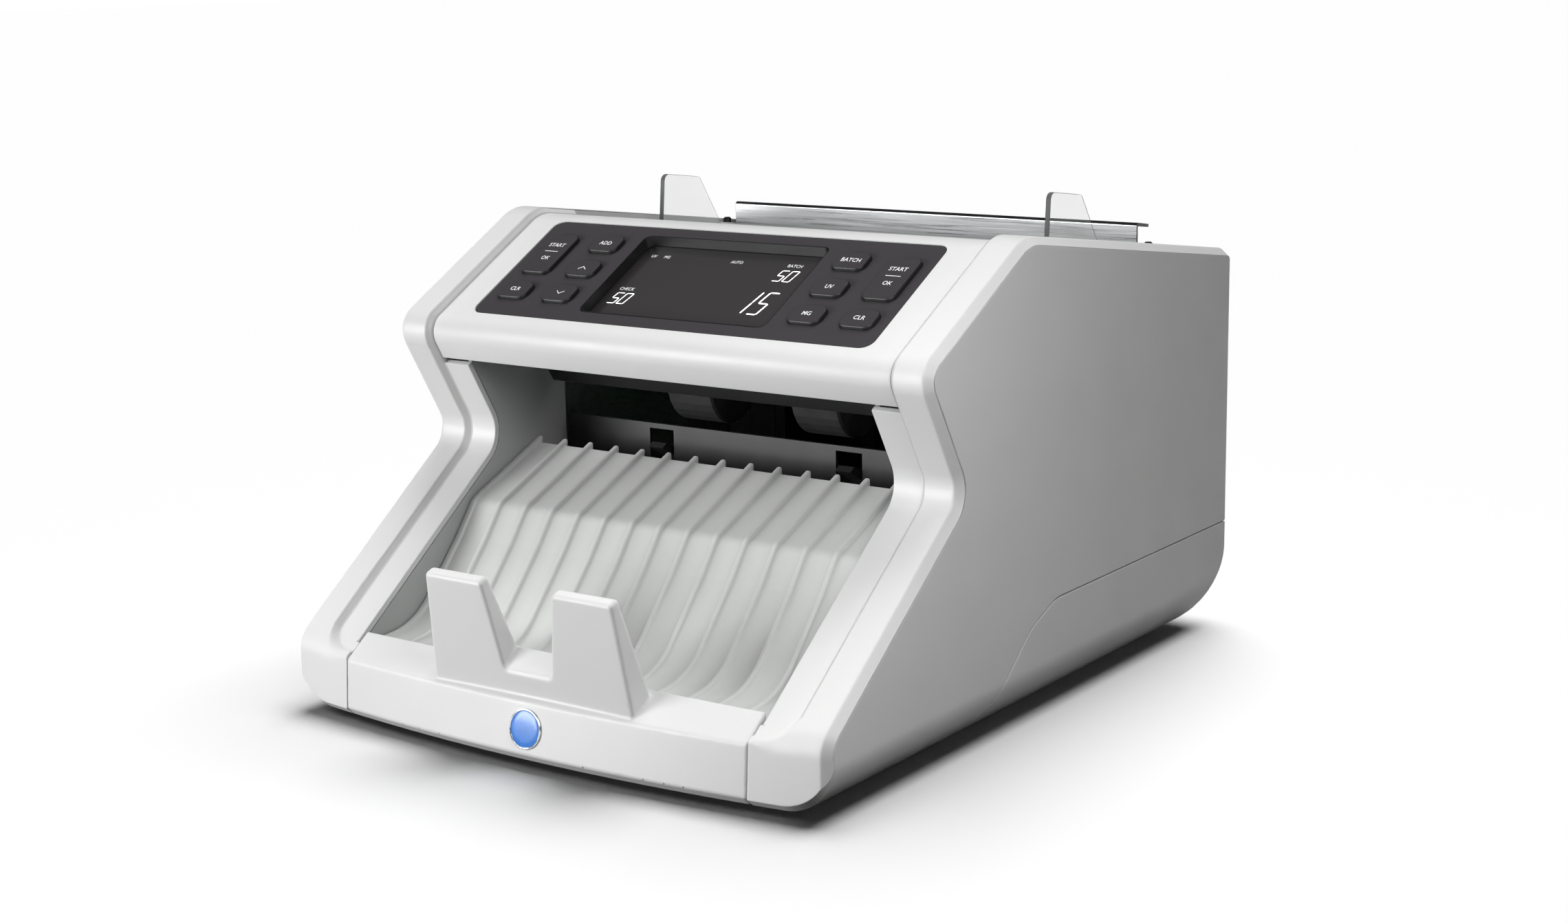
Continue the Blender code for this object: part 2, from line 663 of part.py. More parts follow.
def stacking_wheel(name, x, mat):
    """Impeller with curved fingers that catch the notes."""
    fingers = 8
    finger = ((12.0, 0.0), (19.0, 0.16), (26.0, 0.50), (26.0, 0.62), (17.5, 0.36), (12.0, 0.30))
    outline = []
    for k in range(fingers):
        start = k * math.tau / fingers
        for radius, turn in finger:
            angle = start + turn
            outline.append((radius * math.cos(angle), radius * math.sin(angle)))
    mesh = plate_mesh([outline, circle((0, 0), 4.3)], 7.0)
    spot = Matrix.Translation((0, STACKER_AXIS[0] * MM, STACKER_AXIS[1] * MM)) @ side_on(x)
    return place(name, mesh, mat, spot)


def belt(name, pulleys, x, thickness, mat):
    """Flat belt round two or more pulleys, each (Y, Z, radius), listed anticlockwise."""
    loops = []
    for extra in (0.5 + thickness, 0.5):
        loop = []
        count = len(pulleys)
        for i in range(count):
            before, here, after = pulleys[i - 1], pulleys[i], pulleys[(i + 1) % count]
            first = tangent_angle(before, here)
            last = tangent_angle(here, after)
            sweep = (last - first) % math.tau
            for k in range(9):
                angle = first + sweep * k / 8
                reach = here[2] + extra
                loop.append((here[0] + reach * math.cos(angle), here[1] + reach * math.sin(angle)))
        loops.append(loop)
    return side_plate(name, loops, x - 2.4, x + 2.4, mat)


def tangent_angle(a, b):
    """Direction of the outward normal of the belt's straight run from pulley a to pulley b."""
    heading = math.atan2(b[1] - a[1], b[0] - a[0])
    distance = math.hypot(b[0] - a[0], b[1] - a[1])
    return heading - math.pi / 2 - math.asin((b[2] - a[2]) / distance)


def drive_motor(mat):
    y, z = MOTOR_AXIS
    profile = [(0.0, 97.2), (7.0, 97.2), (7.0, 95.0), (20.0, 95.0), (21.0, 94.0), (21.0, 37.0), (20.0, 36.0),
               (0.0, 36.0)]
    return turned("drive_motor", profile, mat, y, z, steps=32)


def motor_pulley(mat):
    y, z = MOTOR_AXIS
    radius, rim = MOTOR_PULLEY, MOTOR_PULLEY + 1.2
    profile = [(0.0, 113.0), (rim, 113.0), (rim, 112.0), (radius, 112.0), (radius, 106.0), (rim, 106.0)]
    profile += [(rim, 105.0), (3.0, 105.0), (3.0, 97.8), (0.0, 97.8)]
    return turned("motor_pulley", profile, mat, y, z, steps=20)


def circuit_board(name, low, high, parts, mat):
    """Board with the blocks of its largest components."""
    board = box(name, low, high)
    for part_low, part_high in parts:
        combine(board, box("component", part_low, part_high), "UNION")
    return finish(board, name, mat)


def rear_fittings(plastic):
    inlet = box("power_inlet", (-86.3, 130.0, 51.7), (-37.7, REAR_Y - 0.2, 78.3))
    combine(inlet, box("socket", (-84.0, 136.0, 55.0), (-60.0, 160.0, 75.0)))
    combine(inlet, box("well", (-56.4, 143.0, 53.8), (-40.2, 160.0, 76.2)))
    finish(inlet, "power_inlet", plastic)
    outline = [(145.6, 55.4), (153.2, 55.4), (149.4, 65.0), (151.6, 74.6), (145.6, 74.6)]
    rocker = side_plate("power_rocker", [outline], -55.6, -41.0, plastic)
    set_origin(rocker, (-48.3, 146.4, 65.0))


# ---------------------------------------------------------------- assembly
def build():
    white = material("white_plastic", (0.74, 0.75, 0.74), 0.42)
    grey = material("grey_plastic", (0.30, 0.31, 0.31), 0.5)
    black = material("black_plastic", (0.02, 0.02, 0.021), 0.45)
    panel = material("panel_black", (0.035, 0.034, 0.036), 0.5)
    glass = material("dark_glass", (0.02, 0.017, 0.016), 0.05)
    clear = material("clear_acrylic", (0.85, 0.9, 0.9), 0.05, 0.0, 0.35)
    steel = material("brushed_steel", (0.55, 0.56, 0.57), 0.35, 1.0)
    rubber = material("rubber", (0.03, 0.03, 0.03), 0.8)
    blue = material("badge_blue", (0.03, 0.19, 0.62), 0.3)
    green = material("circuit_green", (0.02, 0.14, 0.07), 0.5)
    motor = material("motor_steel", (0.42, 0.42, 0.43), 0.4, 1.0)

    base_shell(white)
    side_cover("left_side_cover", -1, white)
    side_cover("right_side_cover", 1, white)
    console_housing(white)
    rear_cover(white)
    front_tray(white)
    badge_disc("badge", 7.3, -0.5, 0.5, blue)
    for number, (x, y) in enumerate(foot_places()):
        foot("foot_" + ("front_left", "front_right", "rear_left", "rear_right")[number], x, y, rubber)

    key_panel(panel)
    display_bezel(black)
    display_layer("display_lens", 3.0, -6.6, -5.3, glass)
    display_layer("display_module", -6.0, -12.0, -6.9, green)
    keypad_board("keypad_board_left", -1, green)
    keypad_board("keypad_board_right", 1, green)
    for spec in key_places():
        key(*spec, panel)

    stacker_wall("left_stacker_wall", -1, grey)
    stacker_wall("right_stacker_wall", 1, grey)
    stacker_floor(grey)
    stacker_back_guide(black)
    stacker_top_guide(black)

    hopper_tray(grey)
    hopper_back_plate(steel)
    plate_stud("left_plate_stud", -1, black)
    plate_stud("right_plate_stud", 1, black)
    note_guide("left_note_guide", -1, clear)
    note_guide("right_note_guide", 1, clear)
    rod("guide_rail", (68.0, 135.5), 3.0, -104.0, 104.0, steel)

    frame_plate("left_frame_plate", -1, steel)
    frame_plate("right_frame_plate", 1, steel)
    shaft("pickup_shaft", PICKUP_AXIS, -113.0, 103.0, [(-107.0, PICKUP_PULLEY)], steel)
    shaft("feed_shaft", FEED_AXIS, -113.0, 114.0, [(-107.0, PICKUP_PULLEY), (109.0, FEED_PULLEY)], steel)
    rod("retard_shaft", RETARD_AXIS, 3.0, -103.0, 103.0, steel)
    shaft("stacker_shaft", STACKER_AXIS, -103.0, 114.0, [(109.0, STACKER_PULLEY)], steel)
    for name, x in (("left", -30.0), ("right", 30.0)):
        roller("pickup_roller_" + name, PICKUP_AXIS, x, 4.3, 12.0, 16.0, rubber)
        roller("feed_roller_" + name, FEED_AXIS, x, 4.3, 16.0, 22.0, rubber)
    roller("retard_roller", RETARD_AXIS, 0.0, 3.3, 9.8, 84.0, rubber)
    stacking_wheel("stacker_wheel_left", -45.0, rubber)
    stacking_wheel("stacker_wheel_right", 45.0, rubber)
    drive_motor(motor)
    motor_pulley(black)
    drive_pulleys = [(*MOTOR_AXIS, MOTOR_PULLEY), (*FEED_AXIS, FEED_PULLEY), (*STACKER_AXIS, STACKER_PULLEY)]
    belt("drive_belt", drive_pulleys, 109.0, 1.2, rubber)
    belt("pickup_belt", [(*PICKUP_AXIS, PICKUP_PULLEY), (*FEED_AXIS, PICKUP_PULLEY)], -107.0, 1.0, rubber)

    circuit_board("main_board", (-34.0, 140.0, 50.0), (52.0, 141.6, 132.0),
                  [((-20, 136, 60), (10, 140.2, 90)), ((20, 137, 100), (44, 140.2, 120))], green)
    circuit_board("power_supply", (-88.0, 22.0, 10.0), (-8.0, 118.0, 11.6),
                  [((-80, 80, 11), (-44, 112, 40)), ((-80, 30, 11), (-66, 60, 30)), ((-40, 30, 11), (-20, 70, 22))],
                  green)
    rear_fittings(black)


clear_scene()
PARTS = make_collection("banknote_counter")
PLASTIC = material("tool_plastic", (0.5, 0.5, 0.5), 0.5)
build()
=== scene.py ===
"""Looks for the table-top banknote counter: covers, console with keys and display, hopper and stacker.

Lengths are millimetres and become metres where meshes are made. +X is the operator's right, +Y the rear,
+Z up.
"""
import math

import bmesh
import bpy
import numpy as np
from mathutils import Matrix, Vector


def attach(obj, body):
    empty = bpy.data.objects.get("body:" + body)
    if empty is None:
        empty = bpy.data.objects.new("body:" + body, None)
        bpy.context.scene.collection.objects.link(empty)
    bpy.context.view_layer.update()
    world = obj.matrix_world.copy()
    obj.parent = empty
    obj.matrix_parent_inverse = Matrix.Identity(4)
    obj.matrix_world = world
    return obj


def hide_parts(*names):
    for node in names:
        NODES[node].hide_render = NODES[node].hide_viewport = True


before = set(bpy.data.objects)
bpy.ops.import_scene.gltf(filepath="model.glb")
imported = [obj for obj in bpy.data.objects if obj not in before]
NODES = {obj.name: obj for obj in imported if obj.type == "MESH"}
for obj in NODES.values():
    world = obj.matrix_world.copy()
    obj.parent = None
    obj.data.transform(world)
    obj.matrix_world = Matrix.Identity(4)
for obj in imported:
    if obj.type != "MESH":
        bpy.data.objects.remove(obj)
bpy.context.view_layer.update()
MM = 0.001

# ---- the body's driving dimensions ----
HALF_WIDTH = 123.0
REAR_Y = 153.5
FLOOR_Z = 3.0
FRONT_FOOT_Z = 5.7
FRONT_FACE_HEIGHT = 19.0
EDGE_CHAMFER = 3.2
REAR_CHAMFER = 1.0
REAR_CORNER_RADIUS = 30.0
ROOF_FALL = 0.137
ROOF_AT_REAR = 157.3
BOTTOM_EDGE_RADIUS = 18.0
CHANNEL_HALF = 107.4
RECESS_FLOOR_HALF = 106.0
RECESS = 2.3
RECESS_WALL = 1.7
RECESS_WALL_AT_TOE = 4.5
RECESS_CORNER = 12.0
WALL = 2.5
OPENING_HALF = 93.7
TRAY_HALF = 92.2
CHEEK_CUT_START = 80.0
GAP = 0.3
SEAM_Z = 43.0
HOPPER_FRONT_Y = 12.0
HOPPER_REAR_Y = 114.0
GUIDE_AT_REST = 93.4

# ---- the console's slope ----
PANEL_TOP = (-15.1, 175.1)
PANEL_ANGLE = math.radians(28.7)
PANEL_SIZE = (185.0, 62.4)
WINDOW_SIZE = (87.0, 50.6)
WINDOW_TOP = 5.2
KEY_SIZE = (14.2, 10.2)
TALL_KEY_SIZE = (14.2, 25.2)
KEY_RADIUS = 3.3
KEY_PROUD = 1.5
KEY_COLUMNS = (57.6, 80.0)
KEY_ROWS = (14.3, 30.8, 47.1)
TALL_KEY_ROW = 23.0
LETTER_WIDTH = 0.84
LETTER_HEIGHT = 2.3
SIZE_OVER_CAPITAL = 1.38

# ---- the studio, in metres and watts; each fill is (name, spot, target, side, power) ----
FLOOR_REACH = 12.0
BACKDROP_HEIGHT = 6.0
SKY_STRENGTH = 0.02
SUN_TOWARD = (0.0, 0.46, 1.0)
SUN_STRENGTH = 3.42
SUN_ANGLE = 48
FILLS = [
    ("front_fill", (-0.55, -0.90, 0.14), (0, -0.12, 0.07), 0.6, 14.2),
    ("side_fill", (0.30, -0.23, 0.28), (0.123, -0.10, 0.13), 0.18, 0.66),
    ("sheen", (-0.48, 0.18, 0.86), (0.03, -0.045, 0.16), 0.35, 0.07),
]

# ---- the camera, from the machine's own edges in the photograph: degrees, metres, millimetres ----
AZIMUTH, PITCH, ROLL = 35.52, 11.98, -1.11
CAMERA_SPOT = (0.5434, -0.7521, 0.2802)
SENSOR_WIDTH = 36.0
LENS = 55.2632
LENS_SHIFT = (-0.001184, -0.000439)


# ---------------------------------------------------------------- camera, light and floor
def make_camera():
    """The photograph's viewpoint: 35.5 degrees round and 12 degrees down, with a long lens."""
    azimuth, pitch, roll = (math.radians(a) for a in (AZIMUTH, PITCH, ROLL))
    across, along = math.sin(azimuth) * math.cos(pitch), math.cos(azimuth) * math.cos(pitch)
    forward = Vector((-across, along, -math.sin(pitch)))
    level = Vector((math.cos(azimuth), math.sin(azimuth), 0))
    upright = level.cross(forward)
    right = level * math.cos(roll) + upright * math.sin(roll)
    up = right.cross(forward)
    data = bpy.data.cameras.new("photo_camera")
    data.sensor_width = SENSOR_WIDTH
    data.lens = LENS
    data.shift_x, data.shift_y = LENS_SHIFT
    data.clip_start = 0.02
    camera = bpy.data.objects.new("photo_camera", data)
    x, y, z = CAMERA_SPOT
    camera.matrix_world = Matrix(((right.x, up.x, -forward.x, x), (right.y, up.y, -forward.y, y),
                                  (right.z, up.z, -forward.z, z), (0, 0, 0, 1)))
    bpy.context.scene.collection.objects.link(camera)
    bpy.context.scene.camera = camera


def leave_out(light, floor):
    """Let a light fall on everything but the floor."""
    group = bpy.data.collections.new(light.name + "_receivers")
    group.objects.link(floor)
    light.light_linking.receiver_collection = group
    group.collection_objects[0].light_linking.link_state = "EXCLUDE"


def area_light(name, spot, target, side, power):
    data = bpy.data.lights.new(name, "AREA")
    data.shape = "RECTANGLE"
    data.size = data.size_y = side
    data.energy = power
    light = bpy.data.objects.new(name, data)
    light.location = spot
    light.rotation_euler = (Vector(target) - Vector(spot)).to_track_quat("-Z", "Y").to_euler()
    light.visible_camera = False
    bpy.context.scene.collection.objects.link(light)
    return light


def sun_light(name, toward, strength, angle):
    """Soft directional light; toward points from the object to the light."""
    data = bpy.data.lights.new(name, "SUN")
    data.energy = strength
    data.angle = math.radians(angle)
    light = bpy.data.objects.new(name, data)
    light.rotation_euler = (-Vector(toward)).to_track_quat("-Z", "Y").to_euler()
    light.visible_glossy = False
    bpy.context.scene.collection.objects.link(light)


def square(z):
    """Corners of the floor's square at height z."""
    reach = FLOOR_REACH
    return [(-reach, -reach, z), (reach, -reach, z), (reach, reach, z), (-reach, reach, z)]


def studio_piece(name, verts, faces, inputs):
    """Floor or backdrop in one plain material, lighting nothing by bounce."""
    mesh = bpy.data.meshes.new(name)
    mesh.from_pydata(verts, [], faces)
    mat = bpy.data.materials.new("studio_" + name)
    mat.use_nodes = True
    shader = mat.node_tree.nodes["Principled BSDF"]
    for label, value in inputs.items():
        shader.inputs[label].default_value = value
    mesh.materials.append(mat)
    item = bpy.data.objects.new(name, mesh)
    bpy.context.scene.collection.objects.link(item)
    item.visible_diffuse = False
    return item


def make_floor():
    matt = {"Base Color": (0.98, 0.98, 0.98, 1), "Roughness": 0.7, "Specular IOR Level": 0.0}
    floor = studio_piece("floor", square(0), [(0, 1, 2, 3)], matt)
    return floor


def make_backdrop():
    """White walls round the far edge of the floor, which light nothing."""
    faces = [(i, (i + 1) % 4, 4 + (i + 1) % 4, 4 + i) for i in range(4)]
    glow = {"Base Color": (0, 0, 0, 1), "Emission Color": (1, 1, 1, 1), "Emission Strength": 1.0}
    walls = studio_piece("backdrop", square(-0.1) + square(BACKDROP_HEIGHT), faces, glow)
    walls.visible_glossy = False
    walls.visible_transmission = False
    walls.visible_shadow = False


def make_studio():
    """White floor under a soft overhead light, with fills that leave the floor alone."""
    bpy.context.scene.view_settings.view_transform = "Standard"
    world = bpy.data.worlds.new("studio")
    bpy.context.scene.world = world
    world.use_nodes = True
    sky = world.node_tree.nodes["Background"]
    sky.inputs["Color"].default_value = (1.0, 1.0, 1.0, 1.0)
    sky.inputs["Strength"].default_value = SKY_STRENGTH
    sun_light("overhead", SUN_TOWARD, SUN_STRENGTH, SUN_ANGLE)
    floor = make_floor()
    make_backdrop()
    for fill in FILLS:
        leave_out(area_light(*fill), floor)


# ---------------------------------------------------------------- outlines
def line_crossing(p, d, q, e):
    det = d[0] * e[1] - d[1] * e[0]
    t = ((q[0] - p[0]) * e[1] - (q[1] - p[1]) * e[0]) / det
    return (p[0] + d[0] * t, p[1] + d[1] * t)


def inset(corners, distance):
    """Move every edge of an anticlockwise outline inwards; corner radii follow."""
    count = len(corners)
    edges = []
    for i in range(count):
        a, b = corners[i], corners[(i + 1) % count]
        length = math.hypot(b[0] - a[0], b[1] - a[1])
        d = ((b[0] - a[0]) / length, (b[1] - a[1]) / length)
        edges.append(((a[0] - d[1] * distance, a[1] + d[0] * distance), d))
    moved = []
    for i in range(count):
        before, after = edges[i - 1], edges[i]
        turn = before[1][0] * after[1][1] - before[1][1] * after[1][0]
        radius = corners[i][2] - math.copysign(distance, turn)
        moved.append((*line_crossing(*before, *after), max(radius, 0.3)))
    return moved


def rounded(corners, steps=8, cuts=None):
    """Outline points of a polygon whose corners (u, v, radius) become arcs.

    cuts adds points on the straight run before a corner: {corner index: fractions of that run}.
    """
    cuts = cuts or {}
    arcs = []
    count = len(corners)
    for i in range(count):
        u, v, radius = corners[i]
        here = Vector((u, v))
        back = (Vector(corners[i - 1][:2]) - here).normalized()
        ahead = (Vector(corners[(i + 1) % count][:2]) - here).normalized()
        half = back.angle(ahead) / 2
        centre = here + (back + ahead).normalized() * (radius / math.sin(half))
        start = here + back * (radius / math.tan(half)) - centre
        sweep = start.angle_signed(here + ahead * (radius / math.tan(half)) - centre)
        number = steps[i] if isinstance(steps, (list, tuple)) else steps
        arcs.append([centre + Matrix.Rotation(-sweep * k / number, 2) @ start for k in range(number + 1)])
    points = []
    for i, arc in enumerate(arcs):
        previous = arcs[i - 1][-1]
        points += [previous.lerp(arc[0], t) for t in cuts.get(i, ())]
        points += arc
    return [tuple(p) for p in points]


def rectangle(width, height, radius, centre=(0.0, 0.0)):
    u, v = centre
    a, b = width / 2, height / 2
    return [(u + a, v - b, radius), (u + a, v + b, radius), (u - a, v + b, radius), (u - a, v - b, radius)]


def rectangle_points(width, height, centre):
    return [(u, v) for u, v, _ in rectangle(width, height, 0, centre)]


def front_face(x):
    """Y of the front face's foot at x, its lean from upright, and Y of its top edge."""
    low = -152.4 + x * x / 1511
    high = -149.3 + x * x / 2227
    return low, (high - low) / FRONT_FACE_HEIGHT, high


def side_profile(x=0.0, floor=FLOOR_Z, depth=0.0, rear=REAR_Y):
    """Corners of the body's outline in the YZ plane, at a distance x from the middle, inset by depth."""
    x = abs(x)
    front_low, lean, _ = front_face(x)
    toe_top = line_crossing((front_low, FRONT_FOOT_Z), (lean, 1.0), (-101.0, 60.5), (1.0, 0.755))
    toe_radius = 4.0 + 8.0 * min(1.0, max(0.0, x - TRAY_HALF) / 10.0)
    foot = [(front_low - lean * (3.0 - floor), floor + 2.7, 0.6), (front_low + 3.2, floor, 0.6)]
    if depth > RECESS:
        foot = [(front_low, floor, 2.0 + depth)]
    corners = [(rear, floor, REAR_CORNER_RADIUS - (floor - FLOOR_Z)),
               (rear, ROOF_AT_REAR - ROOF_FALL * (rear - REAR_Y), 5.0),
               (-11.6, 179.9, 22.0), (-83.1, 140.9, 10.0), (-56.5, 94.1, 10.0), (*toe_top, toe_radius)]
    corners += foot
    return inset(corners, depth) if depth else corners


# ---------------------------------------------------------------- meshes
def add_object(name, mesh, mats=()):
    item = bpy.data.objects.new(name, mesh)
    bpy.context.scene.collection.objects.link(item)
    for mat in mats:
        mesh.materials.append(mat)
    return item


def mesh_of(verts, faces, name="mesh"):
    """Mesh from millimetre points, welded and with its faces pointing out."""
    mesh = bpy.data.meshes.new(name)
    mesh.from_pydata([tuple(c * MM for c in v) for v in verts], [], faces)
    bm = bmesh.new()
    bm.from_mesh(mesh)
    bmesh.ops.remove_doubles(bm, verts=bm.verts, dist=0.000004)
    bmesh.ops.recalc_face_normals(bm, faces=bm.faces)
    bm.to_mesh(mesh)
    bm.free()
    return mesh


def loft(rings, caps=True):
    """Closed rings of the same length joined in order, with flat ends."""
    size = len(rings[0])
    verts = [p for ring in rings for p in ring]
    faces = []
    for r in range(len(rings) - 1):
        for i in range(size):
            j = (i + 1) % size
            faces.append((r * size + i, r * size + j, (r + 1) * size + j, (r + 1) * size + i))
    if caps:
        faces.append(tuple(range(size)))
        faces.append(tuple(range((len(rings) - 1) * size, len(rings) * size)))
    return mesh_of(verts, faces)


def prism(outlines, thickness):
    """Flat outlines in local XY (the edge first, then its holes) with a thickness about z = 0."""
    curve = bpy.data.curves.new("outline", "CURVE")
    curve.dimensions = "2D"
    curve.fill_mode = "BOTH"
    curve.extrude = thickness * MM / 2
    for loop in outlines:
        spline = curve.splines.new("POLY")
        spline.points.add(len(loop) - 1)
        for point, (u, v) in zip(spline.points, loop):
            point.co = (u * MM, v * MM, 0.0, 1.0)
        spline.use_cyclic_u = True
    holder = add_object("outline", curve)
    bpy.context.view_layer.update()
    solid = bpy.data.meshes.new_from_object(holder.evaluated_get(bpy.context.evaluated_depsgraph_get()))
    bpy.data.objects.remove(holder)
    bpy.data.curves.remove(curve)
    bm = bmesh.new()
    bm.from_mesh(solid)
    bmesh.ops.remove_doubles(bm, verts=bm.verts, dist=0.000005)
    bmesh.ops.dissolve_limit(bm, angle_limit=0.002, verts=bm.verts, edges=bm.edges)
    bmesh.ops.recalc_face_normals(bm, faces=bm.faces)
    bm.to_mesh(solid)
    bm.free()
    return solid


def side_on(x):
    """Frame of an outline drawn in the YZ plane, its middle at x."""
    return Matrix(((0, 0, 1, x * MM), (1, 0, 0, 0), (0, 1, 0, 0), (0, 0, 0, 1)))


def front_on(y):
    """Frame of an outline drawn in the XZ plane, its middle at y."""
    return Matrix(((1, 0, 0, 0), (0, 0, -1, y * MM), (0, 1, 0, 0), (0, 0, 0, 1)))


def on_panel(x, down, height):
    """Frame on the console's slope: x across, down from the panel's top edge, height out of it."""
    slope = Vector((0, math.cos(PANEL_ANGLE), math.sin(PANEL_ANGLE)))
    normal = Vector((0, -math.sin(PANEL_ANGLE), math.cos(PANEL_ANGLE)))
    place = Matrix.Identity(4)
    place.col[1][:3] = slope
    place.col[2][:3] = normal
    place.translation = (Vector((x, *PANEL_TOP)) - slope * down + normal * height) * MM
    return place


def plate(name, outlines, thickness, place, mats=()):
    mesh = prism(outlines, thickness)
    mesh.transform(place)
    return add_object(name, mesh, mats)


def block(name, low, high):
    corners = [(low[0], low[1]), (high[0], low[1]), (high[0], high[1]), (low[0], high[1])]
    middle = (low[2] + high[2]) / 2
    return plate(name, [corners], high[2] - low[2], Matrix.Translation((0, 0, middle * MM)))


def apply_modifiers(item):
    bpy.context.view_layer.update()
    solid = bpy.data.meshes.new_from_object(item.evaluated_get(bpy.context.evaluated_depsgraph_get()))
    item.modifiers.clear()
    item.data = solid


def combine(item, tool, operation="DIFFERENCE"):
    """Cut item by tool, join them, or keep what they share; the tool is used up."""
    step = item.modifiers.new("combine", "BOOLEAN")
    step.operation = operation
    step.solver = "EXACT"
    step.object = tool
    apply_modifiers(item)
    bpy.data.objects.remove(tool, do_unlink=True)
    return item


def soften(item, width=0.4, segments=2, angle=32.0, smooth=40.0, weigh=True):
    """Weld, drop stray points on straight edges, round the sharp edges and shade the piece smooth."""
    bm = bmesh.new()
    bm.from_mesh(item.data)
    bmesh.ops.remove_doubles(bm, verts=bm.verts, dist=0.00002)
    bmesh.ops.dissolve_degenerate(bm, edges=bm.edges, dist=0.00002)
    bm.to_mesh(item.data)
    bm.free()
    if width:
        bevel = item.modifiers.new("edges", "BEVEL")
        bevel.width = width * MM
        bevel.segments = segments
        bevel.limit_method = "ANGLE"
        bevel.angle_limit = math.radians(angle)
        bevel.use_clamp_overlap = False
        apply_modifiers(item)
    item.data.shade_smooth()
    item.data.set_sharp_from_angle(angle=math.radians(smooth))
    if weigh:
        weighted = item.modifiers.new("normals", "WEIGHTED_NORMAL")
        weighted.mode = "FACE_AREA"
        weighted.weight = 80
        weighted.keep_sharp = True
        apply_modifiers(item)


def dress(item, mats):
    item.data.materials.clear()
    for mat in mats:
        item.data.materials.append(mat)


def show(item, body, slot_name, *nodes):
    """Ride on a body and stand for CAD nodes, which are hidden; slot_name is not used."""
    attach(item, body)
    if nodes:
        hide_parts(*nodes)
    return item


# ---------------------------------------------------------------- materials
class Recipe:
    """A Principled material whose colour, roughness and bump come from procedural nodes."""

    def __init__(self, name, color, roughness, metallic=0.0):
        self.mat = bpy.data.materials.new(name)
        self.mat.use_nodes = True
        self.tree = self.mat.node_tree
        self.shader = self.tree.nodes["Principled BSDF"]
        self.shader.inputs["Base Color"].default_value = (*color, 1.0)
        self.shader.inputs["Roughness"].default_value = roughness
        self.shader.inputs["Metallic"].default_value = metallic
        self.color = color
        self.where = self.tree.nodes.new("ShaderNodeTexCoord").outputs["Object"]
        self.height = None

    def set(self, **values):
        for label, value in values.items():
            self.shader.inputs[label.replace("_", " ")].default_value = value
        return self

    def stretched(self, scale):
        mapping = self.tree.nodes.new("ShaderNodeMapping")
        mapping.inputs["Scale"].default_value = scale
        self.tree.links.new(self.where, mapping.inputs["Vector"])
        return mapping.outputs["Vector"]

    def noise(self, scale, detail=3.0, stretch=(1, 1, 1)):
        node = self.tree.nodes.new("ShaderNodeTexNoise")
        node.inputs["Scale"].default_value = scale
        node.inputs["Detail"].default_value = detail
        self.tree.links.new(self.stretched(stretch), node.inputs["Vector"])
        return node.outputs["Fac"]

    def ramp(self, value, low, high):
        """A value between 0 and 1 spread between low and high, which are numbers or colours."""
        node = self.tree.nodes.new("ShaderNodeMapRange")
        node.inputs["From Min"].default_value = 0.3
        node.inputs["From Max"].default_value = 0.7
        if isinstance(low, (int, float)):
            node.inputs["To Min"].default_value = low
            node.inputs["To Max"].default_value = high
            self.tree.links.new(value, node.inputs["Value"])
            return node.outputs["Result"]
        self.tree.links.new(value, node.inputs["Value"])
        mix = self.tree.nodes.new("ShaderNodeMix")
        mix.data_type = "RGBA"
        self.tree.links.new(node.outputs["Result"], mix.inputs["Factor"])
        mix.inputs[6].default_value = (*low, 1.0)
        mix.inputs[7].default_value = (*high, 1.0)
        return mix.outputs[2]

    def mottle(self, scale, spread, detail=4.0, stretch=(1, 1, 1)):
        """Colour that drifts a little about the base colour."""
        low = tuple(c * (1 - spread) for c in self.color)
        high = tuple(min(1.0, c * (1 + spread)) for c in self.color)
        tint = self.ramp(self.noise(scale, detail, stretch), low, high)
        self.tree.links.new(tint, self.shader.inputs["Base Color"])
        return self

    def gloss(self, scale, low, high, stretch=(1, 1, 1)):
        rough = self.ramp(self.noise(scale, 5.0, stretch), low, high)
        self.tree.links.new(rough, self.shader.inputs["Roughness"])
        return self

    def grain(self, scale, depth, detail=2.0, stretch=(1, 1, 1)):
        """Moulded or brushed grain as bump; depth in metres."""
        bump = self.tree.nodes.new("ShaderNodeBump")
        bump.inputs["Strength"].default_value = 1.0
        bump.inputs["Distance"].default_value = depth
        self.tree.links.new(self.noise(scale, detail, stretch), bump.inputs["Height"])
        if self.height:
            self.tree.links.new(self.height, bump.inputs["Normal"])
        self.height = bump.outputs["Normal"]
        self.tree.links.new(self.height, self.shader.inputs["Normal"])
        return self


def moulding(name, color, roughness, spread=0.015, depth=0.000012):
    """Satin moulded plastic with a fine spark-eroded grain."""
    recipe = Recipe(name, color, roughness)
    recipe.mottle(9.0, spread)
    recipe.gloss(60.0, roughness - 0.04, roughness + 0.05)
    recipe.grain(5200.0, depth)
    return recipe.mat


def brushed(name, color, stretch, roughness=0.3):
    recipe = Recipe(name, color, roughness, 1.0)
    recipe.mottle(900.0, 0.10, 6.0, stretch)
    recipe.gloss(1500.0, roughness - 0.06, roughness + 0.1, stretch)
    recipe.grain(2200.0, 0.000006, 4.0, stretch)
    return recipe.mat


